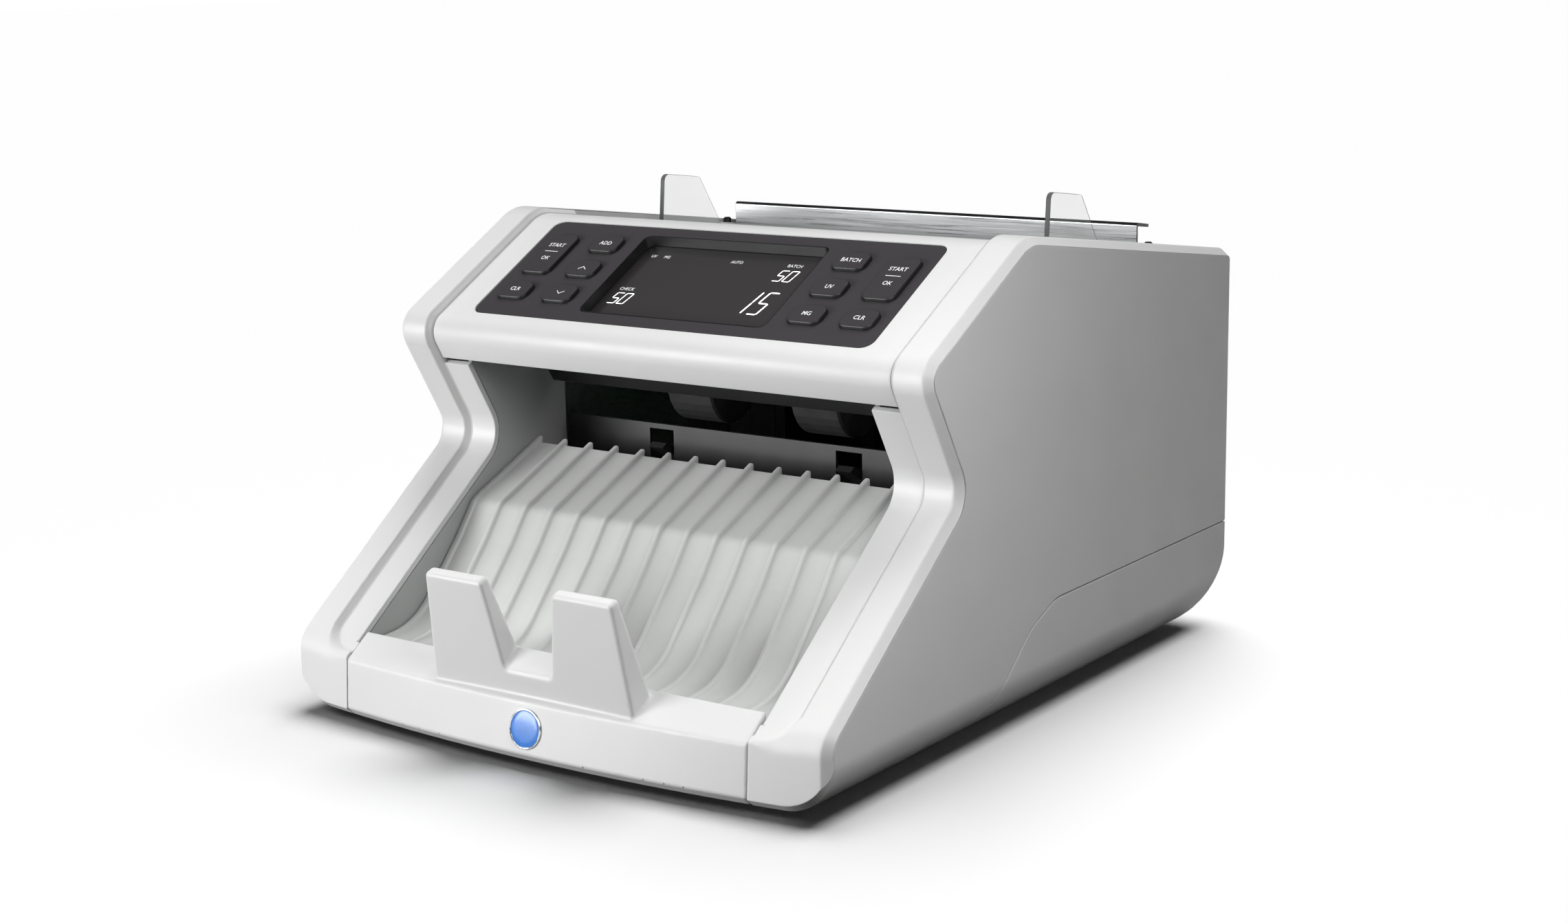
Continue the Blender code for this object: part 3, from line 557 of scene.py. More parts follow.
def make_materials():
    mats = {
        "white": moulding("white_moulding", (0.635, 0.64, 0.635), 0.42),
        "grey": moulding("grey_moulding", (0.40, 0.41, 0.405), 0.45),
        "pale": moulding("stacker_moulding", (0.62, 0.63, 0.62), 0.36),
        # Black plastic, also laid on the key caps' sides as painted shade.
        "black": moulding("black_moulding", (0.012, 0.012, 0.0125), 0.42),
        "panel": moulding("panel_overlay", (0.044, 0.041, 0.044), 0.42, 0.05, 0.000008),
        "key": moulding("key_cap", (0.042, 0.039, 0.042), 0.42, 0.05, 0.000008),
        "steel": brushed("brushed_plate", (0.56, 0.57, 0.58), (0.02, 1, 1)),
        "shaft": brushed("turned_steel", (0.60, 0.60, 0.61), (1, 0.05, 0.05), 0.22),
        "frame": brushed("zinc_plate", (0.50, 0.51, 0.50), (1, 0.3, 1), 0.4),
    }
    glass = Recipe("display_glass", (0.030, 0.0275, 0.028), 0.22).gloss(25.0, 0.2, 0.26)
    glass.set(Coat_Weight=0.2, Coat_Roughness=0.1, IOR=1.45)
    mats["glass"] = glass.mat
    for name, color, strength in (("lit", (1.0, 1.0, 0.98), 1.25), ("dim", (0.72, 0.73, 0.74), 0.35)):
        segment = Recipe("display_" + name, color, 0.5).mottle(400.0, 0.05)
        segment.set(Emission_Color=(*color, 1.0), Emission_Strength=strength)
        mats[name] = segment.mat
    ink = Recipe("legend_ink", (0.80, 0.81, 0.82), 0.5).mottle(900.0, 0.04)
    mats["ink"] = ink.mat
    clear = Recipe("clear_acrylic", (0.62, 0.66, 0.64), 0.06).gloss(30.0, 0.03, 0.09)
    clear.set(Alpha=0.12, IOR=1.49)
    mats["clear"] = clear.mat
    # Dark grey for the guides' edges: painted shade, standing for the dark look of the clear edges.
    edge = Recipe("acrylic_edge_painted_shade", (0.13, 0.132, 0.134), 0.5).gloss(90.0, 0.42, 0.55).mottle(200.0, 0.1)
    mats["edge"] = edge.set(Specular_IOR_Level=0.2).mat
    # Near black for the back plate's top bend and cut edges: a painted dark reflection, not a colour of the
    # steel.
    mats["fold"] = moulding("painted_dark_reflection", (0.016, 0.016, 0.017), 0.35)
    blue = Recipe("blue_enamel", (0.035, 0.20, 0.66), 0.25).mottle(300.0, 0.08)
    blue.set(Coat_Weight=0.25, Coat_Roughness=0.1)
    mats["blue"] = blue.mat
    mats["silver"] = brushed("badge_rim", (0.75, 0.76, 0.78), (1, 1, 1), 0.2)
    rubber = Recipe("black_rubber", (0.018, 0.018, 0.019), 0.75).mottle(150.0, 0.15)
    mats["rubber"] = rubber.gloss(80.0, 0.65, 0.85).grain(2600.0, 0.00003).mat
    board = Recipe("solder_mask", (0.012, 0.10, 0.045), 0.32).mottle(300.0, 0.2)
    mats["board"] = board.gloss(100.0, 0.25, 0.45).grain(700.0, 0.00004).mat
    return mats


# ---------------------------------------------------------------- the body's surface
PROFILE_STEPS = [12, 5, 12, 12, 12, 12, 3, 3]
TOE_RUN = 5
TOE_CUTS = tuple(0.60 + 0.40 * k / 64 for k in range(64))
TOE_FACE_CUTS = tuple(k / 14 for k in range(1, 14))
TOE_POINTS = {TOE_RUN: TOE_CUTS, TOE_RUN + 1: TOE_FACE_CUTS}


def floor_at(x, depth=0.0):
    """Height of the underside at x, with the body's rounded lower edge."""
    corner_x = HALF_WIDTH - BOTTOM_EDGE_RADIUS
    out = max(0.0, abs(x) - corner_x)
    radius = BOTTOM_EDGE_RADIUS - depth
    return FLOOR_Z + BOTTOM_EDGE_RADIUS - math.sqrt(max(radius * radius - out * out, 0.0))


def ring_at(x, depth=0.0, cuts=None):
    """(Y, Z) outline of the body at x, inset by depth, its underside raised by the rounded edge."""
    return rounded(side_profile(x, floor_at(x, depth) - depth, depth), PROFILE_STEPS, cuts)


def at_x(ring, x):
    return [(x, y, z) for y, z in ring]


def solid_body(stations):
    """Loft of the body's skin over x stations."""
    return loft([at_x(chamfer_ring(x), x) for x in stations])


def chamfer_ring(x, cuts=None):
    """Outline of the body's skin at x, drawn in along the outer chamfer, which is narrower at the rear."""
    over = max(0.0, abs(x) - (HALF_WIDTH - EDGE_CHAMFER))
    rear = REAR_Y + over * (1 - REAR_CHAMFER / EDGE_CHAMFER)
    shape = side_profile(x, floor_at(x) - over, 0.0, rear)
    return rounded(inset(shape, over) if over else shape, PROFILE_STEPS, cuts)


def edge_stations():
    """x stations that follow the rounded lower edge, with one where the chamfer starts."""
    low = HALF_WIDTH - BOTTOM_EDGE_RADIUS
    start = math.asin((BOTTOM_EDGE_RADIUS - EDGE_CHAMFER) / BOTTOM_EDGE_RADIUS)
    angles = [start * k / 8 for k in range(9)]
    angles += [start + (math.pi / 2 - start) * k / 7 for k in range(1, 8)]
    return [low + BOTTOM_EDGE_RADIUS * math.sin(a) for a in angles]


# ---------------------------------------------------------------- side covers
def recess_depth(x, above_toe):
    """Depth of the recess beside the stacker: full inside CHANNEL_HALF, rounded off above the toe."""
    corner = RECESS_CORNER
    across = CHANNEL_HALF + GAP - abs(x)
    up = above_toe
    if across < corner and up < corner:
        inside = corner - math.hypot(corner - across, corner - up)
        mix = max(0.0, min(1.0, (corner - up) / corner))
    else:
        inside = min(across, up)
        mix = 1.0 if up < across else 0.0
    width = RECESS_WALL + (RECESS_WALL_AT_TOE - RECESS_WALL) * mix
    return RECESS * max(0.0, min(1.0, inside / width))


def cheek_ring(x):
    """Outline at x whose points sink into the recess by how far they are above the toe."""
    outer = ring_at(x, 0.0, TOE_POINTS)
    inner = ring_at(x, RECESS, TOE_POINTS)
    first_toe = sum(s + 1 for s in PROFILE_STEPS[:TOE_RUN]) + len(TOE_CUTS) + 6
    last = first_toe + len(TOE_FACE_CUTS) + PROFILE_STEPS[TOE_RUN] // 2 + 1
    heights = [0.0] * len(outer)
    run = 0.0
    for i in range(first_toe - 1, -1, -1):
        run += math.dist(outer[i], outer[i + 1])
        heights[i] = run
    run = 0.0
    for i in range(first_toe + 1, last):
        run -= math.dist(outer[i], outer[i - 1])
        heights[i] = run
    ring = []
    for i, (a, b) in enumerate(zip(outer, inner)):
        share = 0.0 if i >= last else recess_depth(x, heights[i] + 1.5) / RECESS
        ring.append((a[0] + (b[0] - a[0]) * share, a[1] + (b[1] - a[1]) * share))
    return ring


def seam_region(margin):
    """Outline of the rear lower part that belongs to the base, grown by margin."""
    top = SEAM_Z + margin
    bend = [(8.0, top, 22.0), (-10.0, top - 7.0, 26.0), (-34.0, 16.0, 26.0)]
    corners = [(REAR_Y + 20, -20, 0.5), (REAR_Y + 20, top, 0.5)]
    corners += [(y - margin, z, r) for y, z, r in bend]
    corners += [(-52.0 - margin, 2.0, 4.0), (-60.0 - margin, -20, 0.5)]
    return rounded(corners, 8)


def inner_cut(name, outline, reach):
    """Tool that clears a YZ outline from the left cheek, out to reach."""
    middle = -(CHEEK_CUT_START + reach) / 2
    return plate(name, [outline], reach - CHEEK_CUT_START, side_on(middle))


def left_cheek():
    """The left cheek with its front band, chamfer, rounded lower edge and the flange beside the stacker."""
    inner_x = TRAY_HALF + 0.4
    near = [inner_x, 93.4, 94.6, 96.5, 98.5, 100.5, 102.0, 103.2, 104.2]
    step = [105.0, 105.3, 105.6, 105.8] + [106.0 + 0.17 * k for k in range(11)] + [107.95, 108.3, 108.6]
    stations = near + step + [x for x in edge_stations() if x > 108.9]
    rings = []
    for x in stations:
        chamfered = x > HALF_WIDTH - EDGE_CHAMFER
        ring = chamfer_ring(x, TOE_POINTS) if chamfered else cheek_ring(x)
        rings.append(at_x(ring, -x))
    cover = add_object("side_cover", loft(rings))
    deep = RECESS + WALL
    inner = [at_x(rounded(side_profile(x, floor_at(x, deep) - deep, deep), 6), -x)
             for x in (CHEEK_CUT_START, 105.0, 109.0, 113.0, 116.0, 117.8, HALF_WIDTH - WALL)]
    combine(cover, add_object("inner", loft(inner)))
    rest = [(-85.1, 116.4), (-52.4, 135.1), (-30, 102), (-30, -20), (200, -20), (200, 220), (-140, 220),
            (-140, 116.4)]
    combine(cover, inner_cut("rest", list(reversed(rest)), RECESS_FLOOR_HALF))
    behind = [(HOPPER_FRONT_Y, 100), (200, 100), (200, 220), (HOPPER_FRONT_Y, 220)]
    combine(cover, inner_cut("behind", behind, CHANNEL_HALF))
    strip = [(-138.4, 32.0), (-134.0, 8.0), (-20, 8.0), (-20, 150), (-110, 150)]
    combine(cover, inner_cut("strip", strip, OPENING_HALF))
    combine(cover, plate("base", [seam_region(GAP / 2)], 300, side_on(0)))
    return cover


def side_covers(mats):
    left = left_cheek()
    right = add_object("right_side_skin", left.data.copy())
    right.data.transform(Matrix.Scale(-1.0, 4, (1, 0, 0)))
    right.data.flip_normals()
    for cover, side in ((left, "left"), (right, "right")):
        cover.name = side + "_side_skin"
        soften(cover, 0.45)
        dress(cover, [mats["white"]])
        show(cover, "housing", "white_plastic", side + "_side_cover")


def base_shell(mats):
    half = edge_stations()
    stations = [-x for x in reversed(half)] + [-60.0, 0.0, 60.0] + half
    shell = add_object("base_skin", solid_body(stations))
    inner = [at_x(rounded(side_profile(x, floor_at(x, WALL) - WALL, WALL), 8), x)
             for x in (-120.5, -117, -111, -105, 0, 105, 111, 117, 120.5)]
    combine(shell, add_object("inner", loft(inner)))
    combine(shell, plate("base", [seam_region(-GAP / 2)], 300, side_on(0)), "INTERSECT")
    for x in (-60, -30, 0, 30, 60):
        combine(shell, block("vent", (x - 9, 60, -5), (x + 9, 63, 8)))
    soften(shell, 0.45)
    dress(shell, [mats["white"]])
    return show(shell, "housing", "white_plastic", "base_shell")


def rear_cover(mats):
    edge = CHANNEL_HALF - GAP
    outer = rounded(side_profile(), PROFILE_STEPS)
    shell = plate("rear_skin", [outer], 2 * edge, side_on(0))
    combine(shell, plate("inner", [rounded(side_profile(0, FLOOR_Z, WALL), 8)], 240, side_on(0)))
    front, low = HOPPER_REAR_Y + 3, SEAM_Z + GAP / 2
    keep = [(front, low), (200, low), (200, 200), (front, 200)]
    combine(shell, plate("keep", [keep], 240, side_on(0)), "INTERSECT")
    combine(shell, plate("port", [rectangle_points(49.2, 27.2, (-62.0, 65.0))], 30, front_on(152)))
    for row in range(5):
        slot = rounded(rectangle(80.0, 3.0, 1.4, (0, 97.5 + row * 8)), 5)
        combine(shell, plate("vent", [slot], 30, front_on(152)))
    soften(shell, 0.45)
    dress(shell, [mats["white"]])
    return show(shell, "housing", "white_plastic", "rear_cover")


# ---------------------------------------------------------------- console
def console(mats):
    edge = RECESS_FLOOR_HALF - GAP
    outer = rounded(side_profile(0, FLOOR_Z, RECESS), PROFILE_STEPS)
    inner = rounded(side_profile(0, FLOOR_Z, RECESS + WALL), 8)
    shell = plate("console_skin", [outer], 2 * edge, side_on(0))
    combine(shell, plate("inner", [inner], 240, side_on(0)))
    keep = [(-86.2, 118.7), (-53.6, 137.3), (HOPPER_FRONT_Y, 150), (HOPPER_FRONT_Y, 200), (-110, 200),
            (-110, 118.7)]
    combine(shell, plate("keep", [keep], 240, side_on(0)), "INTERSECT")
    soften(shell, 0.4, 3, weigh=False)
    width, height = PANEL_SIZE
    opening = rounded(rectangle(width, height, 5.0), 8)
    combine(shell, plate("hole", [opening], 30, on_panel(0, height / 2, 0)))
    soften(shell, 0.0, weigh=False)
    dress(shell, [mats["white"]])
    return show(shell, "housing", "white_plastic", "console_housing")


def key_places():
    """(node, x, down the slope, width, height, words) of each key."""
    inner, outer = KEY_COLUMNS
    top, middle, bottom = KEY_ROWS
    small, tall = KEY_SIZE, TALL_KEY_SIZE
    return [
        ("key_start_left", -outer, TALL_KEY_ROW, *tall, "START"),
        ("key_clear_left", -outer, bottom, *small, "CLR"),
        ("key_add", -inner, top, *small, "ADD"), ("key_up", -inner, middle, *small, "up"),
        ("key_down", -inner, bottom, *small, "down"), ("key_batch", inner, top, *small, "BATCH"),
        ("key_uv", inner, middle, *small, "UV"), ("key_mg", inner, bottom, *small, "MG"),
        ("key_start_right", outer, TALL_KEY_ROW, *tall, "START"),
        ("key_clear_right", outer, bottom, *small, "CLR"),
    ]


def key_panel(mats):
    """Black overlay, flush with the console, with wells for the keys and a chamfered window."""
    width, height = PANEL_SIZE[0] - 2 * GAP, PANEL_SIZE[1] - 2 * GAP
    centre = PANEL_SIZE[1] / 2
    window_v = centre - WINDOW_TOP - WINDOW_SIZE[1] / 2
    window = rectangle(*WINDOW_SIZE, 3.5, (0, window_v))
    loops = [rounded(rectangle(width, height, 4.7), 8), rounded(window, 8)]
    for _, x, down, w, h, _ in key_places():
        loops.append(rounded(rectangle(w + GAP, h + GAP, KEY_RADIUS + GAP / 2, (x, centre - down)), 8))
    panel = plate("panel_skin", loops, 2.0, on_panel(0, centre, -1.0))
    soften(panel, 0.12, 2)
    dress(panel, [mats["panel"]])
    show(panel, "housing", "panel_black", "key_panel")


def stacked_rings(width, height, radius, layers, steps=8):
    """Rounded-rectangle rings: each layer is (shrink on every side, height out of the panel)."""
    rings = []
    for shrink, up in layers:
        loop = rounded(rectangle(width - 2 * shrink, height - 2 * shrink, max(radius - shrink, 0.3)), steps)
        rings.append([(u, v, up) for u, v in loop])
    return rings


def key_caps(mats):
    edge = 0.6
    layers = [(0.0, -1.9), (0.0, KEY_PROUD - edge)]
    layers += [(edge * (1 - math.cos(t)), KEY_PROUD - edge + edge * math.sin(t))
               for t in (math.pi / 2 * k / 5 for k in range(1, 6))]
    layers += [(2.2, KEY_PROUD - 0.06), (3.6, KEY_PROUD - 0.12)]
    for node, x, down, w, h, words in key_places():
        body = node + "_body"
        mesh = loft(stacked_rings(w, h, KEY_RADIUS, layers))
        mesh.transform(on_panel(x, down, 0))
        # The cap's sides and rounded edge take the black moulding: painted shade, making them darker than the
        # top as if in shadow.
        cap = add_object(node + "_cap", mesh, [mats["key"], mats["black"]])
        out = on_panel(0, 0, 0).col[2].xyz
        for face in cap.data.polygons:
            face.material_index = int(face.normal.dot(out) < 0.8)
        cap.data.shade_smooth()
        cap.data.set_sharp_from_angle(angle=math.radians(50))
        show(cap, body, "panel_black", node)
        top = KEY_PROUD - 0.06
        if words == "START":
            legend(node + "_word_1", "START", x, down - 5.2, top, body, mats)
            legend(node + "_word_2", "OK", x, down + 3.4, top, body, mats)
            line = rectangle_points(6.4, 0.28, (0, 0))
            bar = plate(node + "_bar", [line], 0.08, on_panel(x, down - 1.1, top), [mats["ink"]])
            show(bar, body, "panel_black")
        elif words in ("up", "down"):
            turn = 1 if words == "up" else -1
            arrow = [(-1.9, -0.8 * turn), (0, 0.9 * turn), (1.9, -0.8 * turn), (1.75, -1.1 * turn),
                     (0, 0.5 * turn), (-1.75, -1.1 * turn)]
            mark = plate(node + "_arrow", [arrow], 0.08, on_panel(x, down, top), [mats["ink"]])
            show(mark, body, "panel_black")
        else:
            legend(node + "_word", words, x, down, top, body, mats)


def text_mesh(name, words, height, place, mat, thick=0.03, offset=0.0):
    """Thin raised lettering, centred on its place; height of a capital in millimetres."""
    curve = bpy.data.curves.new(name, "FONT")
    curve.body = words
    curve.align_x = "CENTER"
    curve.align_y = "CENTER"
    curve.size = height * MM * SIZE_OVER_CAPITAL
    curve.extrude = thick * MM
    curve.offset = offset * MM
    curve.resolution_u = 3
    holder = add_object(name + "_curve", curve)
    bpy.context.view_layer.update()
    mesh = bpy.data.meshes.new_from_object(holder.evaluated_get(bpy.context.evaluated_depsgraph_get()))
    bpy.data.objects.remove(holder)
    bpy.data.curves.remove(curve)
    mesh.transform(place @ Matrix.Diagonal((LETTER_WIDTH, 1.0, 1.0, 1.0)))
    mesh.materials.clear()
    return add_object(name, mesh, [mat])


def legend(name, words, x, down, up, body, mats):
    item = text_mesh(name, words, LETTER_HEIGHT, on_panel(x, down, up), mats["ink"], 0.03, 0.008)
    show(item, body, "panel_black")


# ---------------------------------------------------------------- display
GLASS_HEIGHT = -4.4
SEGMENTS = {"0": "abcdef", "1": "bc", "5": "acdfg"}


def segment_outline(letter, w, h, t):
    """One bar, t thick, of a seven-segment digit w by h, drawn about the digit's middle."""
    g = 0.12 * t
    half = h / 2
    if letter in "agd":
        v = {"a": half - t / 2, "g": 0.0, "d": -half + t / 2}[letter]
        a = w / 2 - t * 0.5 - g
        return [(-a, v), (-a + t / 2, v + t / 2), (a - t / 2, v + t / 2), (a, v),
                (a - t / 2, v - t / 2), (-a + t / 2, v - t / 2)]
    u = {"b": 1, "c": 1, "e": -1, "f": -1}[letter] * (w / 2 - t / 2)
    low, high = (g, half - t / 2 - g) if letter in "bf" else (-half + t / 2 + g, -g)
    return [(u, low), (u + t / 2, low + t / 2), (u + t / 2, high - t / 2), (u, high),
            (u - t / 2, high - t / 2), (u - t / 2, low + t / 2)]


def digits(name, words, x, down, w, h, t, pitch, mats):
    """Slanted seven-segment number on the glass; x and down are its middle."""
    slant = 0.22
    loops = []
    first = -pitch * (len(words) - 1) / 2
    for k, digit in enumerate(words):
        for letter in SEGMENTS[digit]:
            loop = [(u + first + k * pitch + v * slant, v) for u, v in segment_outline(letter, w, h, t)]
            loops.append(loop)
    item = plate(name, loops, 0.06, on_panel(x, down, GLASS_HEIGHT + 0.05), [mats["lit"]])
    show(item, "housing", "dark_glass")


def display(mats):
    width, height = WINDOW_SIZE
    middle = on_panel(0, WINDOW_TOP + height / 2, 0)
    outer = [(u, v) for u, v in rounded(rectangle(width + 7, height + 5, 3.0), 8)]
    low, top = GLASS_HEIGHT + 0.3, -2.0 - GAP
    rings = [[(u, v, low) for u, v in outer], [(u, v, top) for u, v in outer]]
    for shrink, up in ((0.2, top), (0.2, -0.3), (0.35, -0.15), (0.6, low)):
        loop = rounded(rectangle(width - 2 * shrink, height - 4 * shrink, 3.3 - shrink * 0.4), 8)
        rings.append([(u, v, up) for u, v in loop])
    rings.append(rings[0])
    mesh = loft(rings, caps=False)
    mesh.transform(middle)
    bezel = add_object("display_frame", mesh, [mats["black"]])
    bezel.data.shade_smooth()
    bezel.data.set_sharp_from_angle(angle=math.radians(40))
    show(bezel, "housing", "black_plastic", "display_bezel")
    layers = [(0.0, -6.6), (0.0, GLASS_HEIGHT - 0.15), (0.15, GLASS_HEIGHT)]
    mesh = loft(stacked_rings(width + 3, height + 3, 2.0, layers))
    mesh.transform(middle)
    glass = add_object("display_pane", mesh, [mats["glass"]])
    show(glass, "housing", "dark_glass", "display_lens")
    digits("digits_check", "50", -34.7, 40.4, 3.5, 6.9, 0.36, 4.5, mats)
    digits("digits_batch", "50", 29.6, 19.4, 3.5, 6.9, 0.36, 4.5, mats)
    digits("digits_count", "15", 26.3, 36.6, 4.9, 14.0, 0.62, 7.2, mats)
    for k, (words, x, down, size) in enumerate(on_glass_words()):
        spot = on_panel(x, down, GLASS_HEIGHT + 0.04)
        item = text_mesh(f"display_word_{k}", words, size, spot, mats["dim"], 0.02, -0.01)
        show(item, "housing", "dark_glass")


def on_glass_words():
    """Words, the middle of each across and down the panel, and its letter size."""
    return [("UV", -36.8, 13.0, 1.7), ("MG", -30.4, 13.0, 1.7), ("AUTO", 3.2, 13.1, 1.7),
            ("BATCH", 30.0, 13.0, 1.8), ("CHECK", -35.5, 34.5, 1.8)]


# ---------------------------------------------------------------- front tray with its two leaning fingers
def smooth_max(a, b, r):
    """Rounded intersection of two distance fields."""
    u, v = np.maximum(a + r, 0), np.maximum(b + r, 0)
    return np.minimum(np.maximum(a, b), -r) + np.hypot(u, v)


def smooth_min(a, b, r):
    """Rounded union: a fillet of radius r where two shapes meet."""
    return -smooth_max(-a, -b, r)


def half_space(y, z, p, q):
    """Distance in the YZ plane to the right of the line from p to q."""
    dy, dz = q[0] - p[0], q[1] - p[1]
    return ((y - p[0]) * dz - (z - p[1]) * dy) / math.hypot(dy, dz)


def finger_field(x, y, z):
    """Both fingers and the low web between them."""
    front = half_space(y, z, (-147.3, 26.5), (-153.4, 66.6)) * -1
    rear = half_space(y, z, (-136.6, 31.0), (-148.9, 68.2))
    slab = smooth_max(front, rear, 1.2)
    across = np.abs(x)
    flank = (across - (42.6 + (67.5 - z) * 0.078)) / 1.003
    valley = ((16.4 - (67.5 - z) * 0.172) - across) / 1.015
    top = half_space(y, z, (-153.4, 66.6), (-148.9, 68.2)) * -1
    web_top = half_space(y, z, (-148.6, 34.3), (-140.0, 41.6)) * -1
    notch = smooth_min(valley, web_top, 1.6)
    return smooth_max(smooth_max(smooth_max(slab, flank, 1.4), notch, 1.2), top, 1.5)


def tray_field(x, y, z):
    """Signed distance, about, to the tray: negative inside the plastic."""
    front_low, lean, front_high = front_face(x)
    front = (front_low + lean * (z - FRONT_FOOT_Z) - y) / 1.014
    top = (z - 24.7 - (31.5 - 24.7) * (y - front_high) / (-136.1 - front_high)) * 0.84
    chamfer = ((front_low + 3.0 - y) + (3.0 - z) + 0.2) * 0.7071
    outside = smooth_max(smooth_max(front, top, 0.8), smooth_max(3.0 - z, chamfer, 0.3), 0.35)
    outside = smooth_max(outside, y + 133.9, 0.8)
    hollow = smooth_max(smooth_max(front + 2.5, top + 2.5, 1.0), 5.5 - z, 1.0)
    block = smooth_max(outside, -hollow, 0.3)
    solid = smooth_min(block, np.maximum(finger_field(x, y, z), 22.0 - z), 0.8)
    return smooth_max(solid, np.abs(x) - TRAY_HALF, 0.5)


def surface_net(field, low, high, cell):
    """Quad mesh of field = 0, with its vertices moved onto the surface."""
    axes = [np.arange(l, h + cell, cell) for l, h in zip(low, high)]
    grid = np.meshgrid(*axes, indexing="ij")
    inside = field(*grid) < 0
    shape = [n - 1 for n in inside.shape]
    count = np.zeros(shape, int)
    for i in (0, 1):
        for j in (0, 1):
            for k in (0, 1):
                count += inside[i:i + shape[0], j:j + shape[1], k:k + shape[2]]
    cells = np.argwhere((count > 0) & (count < 8))
    index = np.full(shape, -1)
    index[tuple(cells.T)] = np.arange(len(cells))
    verts = np.array(low) + (cells + 0.5) * cell
    faces = []
    for axis in range(3):
        b, c = (axis + 1) % 3, (axis + 2) % 3
        first = np.take(inside, range(inside.shape[axis] - 1), axis)
        second = np.take(inside, range(1, inside.shape[axis]), axis)
        for at in (first & ~second, second & ~first):
            edge = np.argwhere(at)
            edge = edge[(edge[:, b] > 0) & (edge[:, c] > 0)]
            edge = edge[(edge[:, b] < inside.shape[b] - 1) & (edge[:, c] < inside.shape[c] - 1)]
            quad = []
            for db, dc in ((1, 1), (0, 1), (0, 0), (1, 0)):
                at_cell = edge.copy()
                at_cell[:, b] -= db
                at_cell[:, c] -= dc
                quad.append(index[tuple(at_cell.T)])
            faces.append(np.stack(quad, 1))
    for _ in range(6):
        value = field(*verts.T)
        step = 0.02
        slope = np.stack([(field(*(verts + step * e).T) - field(*(verts - step * e).T)) / (2 * step)
                          for e in np.eye(3)], 1)
        length = np.maximum((slope ** 2).sum(1), 0.05)
        move = -value[:, None] * slope / length[:, None]
        verts = verts + np.clip(move, -0.5 * cell, 0.5 * cell)
    return mesh_of(verts.tolist(), [tuple(int(i) for i in q) for q in np.concatenate(faces)])


def front_tray(mats):
    cell = 0.65
    low = (-TRAY_HALF - 1.3, -155.0, 1.6)
    high = (TRAY_HALF + 1.3, -131.0, 70.0)
    tray = add_object("tray_skin", surface_net(tray_field, low, high, cell), [mats["white"]])
    tray.data.shade_smooth()
    show(tray, "housing", "white_plastic", "front_tray")
    x_low, x_high = -TRAY_HALF, TRAY_HALF
    floor = block("tray_floor", (x_low, -133.2, 3.0), (x_high, -51.4, 5.4))
    for x in (-78.0, 78.0):
        hole = rounded(rectangle(8.0, 8.0, 3.9, (x, -112.0)), 4)
        combine(floor, plate("hole", [hole], 20, Matrix.Translation((0, 0, 4 * MM))))
    soften(floor, 0.3)
    dress(floor, [mats["white"]])
    show(floor, "housing", "white_plastic")


def turned_mesh(profile, steps=64):
    """(radius, along) points turned about local Z."""
    rings = []
    for radius, along in profile:
        radius = max(radius, 0.001)
        rings.append([(radius * math.cos(a), radius * math.sin(a), along)
                      for a in (math.tau * k / steps for k in range(steps))])
    return loft(rings)


def badge(mats):
    lean = math.atan2(3.1, FRONT_FACE_HEIGHT)
    place = Matrix.Translation((0, -150.85 * MM, 15.2 * MM))
    place = place @ Matrix.Rotation(math.pi / 2 - lean, 4, "X")
    rim = turned_mesh([(7.3, -0.5), (7.3, 0.35), (7.15, 0.55), (6.9, 0.62), (6.6, 0.5), (6.5, 0.3),
                       (6.5, -0.5)])
    disc = turned_mesh([(6.45, -0.4), (6.45, 0.22), (6.2, 0.34), (4.5, 0.46), (2.5, 0.53), (0.0, 0.56)])
    for name, mesh, mat in (("badge_rim", rim, mats["silver"]), ("badge_disc", disc, mats["blue"])):
        mesh.transform(place)
        mesh.shade_smooth()
        mesh.set_sharp_from_angle(angle=math.radians(35))
        item = add_object(name, mesh, [mat])
        show(item, "housing", "badge_blue", *(["badge"] if name == "badge_disc" else []))


# ---------------------------------------------------------------- stacker
def stacker_spine(lift):
    spine = [(-131.2, 27.0, 0.6), (-108.0, 29.0, 26.0), (-82.0, 58.0, 14.0), (-72.0, 71.0, 8.0),
             (-33.0, 88.0, 1.0)]
    under = [(-33.0, 84.0, 2.0), (-68.0, 66.0, 8.0), (-78.0, 53.0, 14.0), (-104.0, 24.0, 22.0),
             (-131.2, 22.5, 2.0)]
    corners = list(reversed(spine + under))
    return rounded(inset(corners, -lift) if lift else corners, 8)


def stacker_floor(mats):
    """Ribbed chute; each rib has rounded shoulders and runs from the tray to the wheels."""
    reach = OPENING_HALF - GAP
    pitch = 13.2
    shoulder = [(1.7, 0.02), (1.35, 0.35), (1.15, 0.95), (0.8, 1.22)]
    rib = [(-off, lift) for off, lift in shoulder] + [(0.0, 1.3)] + shoulder[::-1]
    stations = [(-reach, 0.0)]
    for k in range(-7, 8):
        middle = k * pitch
        for off, lift in rib:
            if abs(middle + off) < reach:
                stations.append((middle + off, lift))
    stations.append((reach, 0.0))
    chute = loft([at_x(stacker_spine(lift), x) for x, lift in stations])
    floor = add_object("stacker_floor_skin", chute, [mats["pale"]])
    floor.data.shade_smooth()
    floor.data.set_sharp_from_angle(angle=math.radians(50))
    show(floor, "housing", "grey_plastic", "stacker_floor")


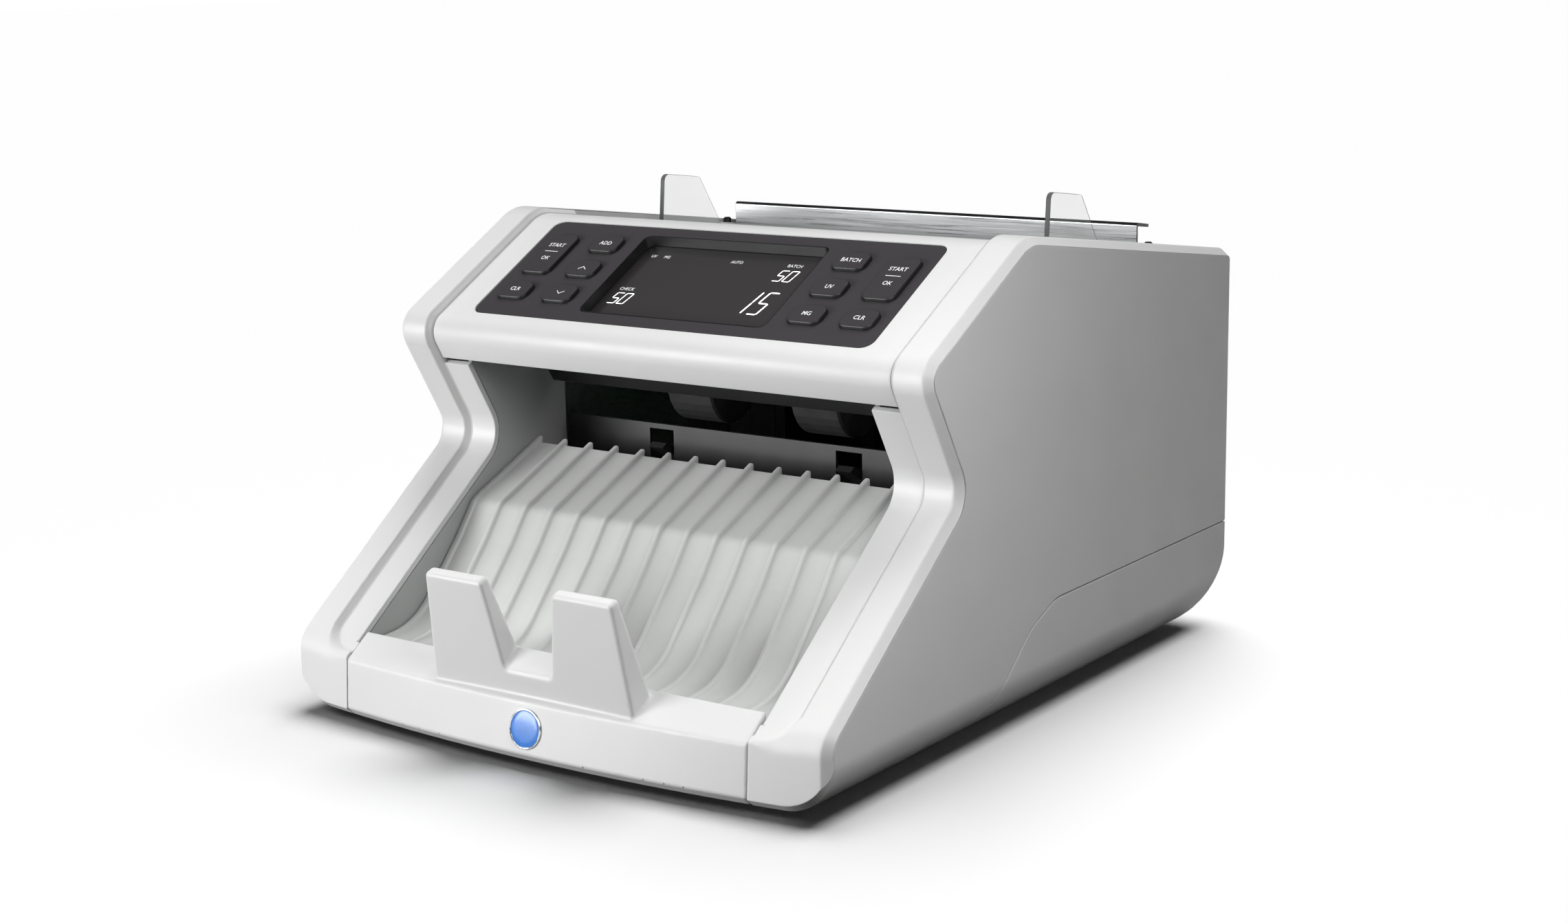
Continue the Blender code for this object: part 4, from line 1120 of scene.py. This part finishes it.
# ---------------------------------------------------------------- hopper
def note_guides(mats):
    """Clear guides with polished edges, each with the CAD part's stem and slider under the hopper; the edges
    not facing the rear, and the bevels on the right, are dark grey as painted shade.
    """
    outline = rounded([(50.0, 145.5, 1.0), (96.0, 159.0, 1.0), (78.4, 185.0, 2.5), (54.0, 188.2, 3.0)], 8)
    for side, name in ((-1, "left"), (1, "right")):
        x = side * GUIDE_AT_REST
        blade = plate(name + "_guide_blade", [outline], 2.4, side_on(x))
        soften(blade, 0.45, 2)
        dress(blade, [mats["clear"], mats["edge"]])
        # Edges not facing the rear, and the bevels on the right, take the dark grey: painted shade.
        for face in blade.data.polygons:
            across = abs(face.normal.x)
            face.material_index = int(across < 0.9 and (face.normal.y < 0.3 or face.normal.x > 0.2))
        show(blade, name + "_guide", "clear_acrylic", name + "_note_guide")
        carrier = block(name + "_guide_carrier", (x - 2.2, 65.5, 138.0), (x + 2.2, 70.5, 145.2))
        slider = block("slider", (x - 4.0, 62.0, 130.0), (x + 4.0, 74.0, 141.0))
        combine(carrier, slider, "UNION")
        bore = turned_mesh([(3.4, -20.0), (3.4, 20.0)], 32)
        middle = Matrix.Translation((x * MM, 68.0 * MM, 135.5 * MM))
        bore.transform(middle @ Matrix.Rotation(math.pi / 2, 4, "Y"))
        combine(carrier, add_object("bore", bore))
        soften(carrier, 0.4)
        dress(carrier, [mats["black"]])
        show(carrier, name + "_guide", "clear_acrylic")


def back_plate(mats):
    """Folded steel plate with rounded bends and corners; every face but the front and back, the top bend and
    cut edges included, is near black as a painted dark reflection.
    """
    y, top = HOPPER_REAR_Y + 0.2, 170.7
    outline = [(y, 146.0, 0.2), (y + 1.2, 146.0, 0.2), (y + 1.2, top - 1.5, 0.5),
               (y + 10.5, top - 2.9, 0.4), (y + 10.6, top - 1.6, 0.4), (y, top, 1.4)]
    sheet = plate("back_plate_skin", [rounded(outline, 5)], 200.0, side_on(0))
    soften(sheet, 0.2, 2, 45)
    dress(sheet, [mats["steel"], mats["fold"]])
    # Faces that don't face front or back take the near-black material: painted dark reflection.
    for face in sheet.data.polygons:
        face.material_index = int(abs(face.normal.y) < 0.9)
    show(sheet, "housing", "steel", "hopper_back_plate")


# ---------------------------------------------------------------- parts that keep their CAD shape
def repaint(mats):
    finishes = {
        "grey": ["left_stacker_wall", "right_stacker_wall", "hopper_tray"],
        "black": ["stacker_back_guide", "stacker_top_guide", "motor_pulley", "power_inlet", "power_rocker",
                  "left_plate_stud", "right_plate_stud"],
        "shaft": ["guide_rail", "retard_shaft", "pickup_shaft", "feed_shaft", "stacker_shaft"],
        "frame": ["left_frame_plate", "right_frame_plate", "drive_motor"],
        "rubber": ["foot_front_left", "foot_front_right", "foot_rear_left", "foot_rear_right",
                   "pickup_roller_left", "pickup_roller_right", "feed_roller_left", "feed_roller_right",
                   "retard_roller", "stacker_wheel_left", "stacker_wheel_right", "drive_belt", "pickup_belt"],
        "board": ["display_module", "keypad_board_left", "keypad_board_right", "main_board", "power_supply"],
    }
    for finish, names in finishes.items():
        for name in names:
            for place in NODES[name].material_slots:
                place.material = mats[finish]


def build():
    make_camera()
    make_studio()
    mats = make_materials()
    side_covers(mats)
    base_shell(mats)
    rear_cover(mats)
    console(mats)
    key_panel(mats)
    key_caps(mats)
    display(mats)
    front_tray(mats)
    badge(mats)
    stacker_floor(mats)
    note_guides(mats)
    back_plate(mats)
    repaint(mats)


build()
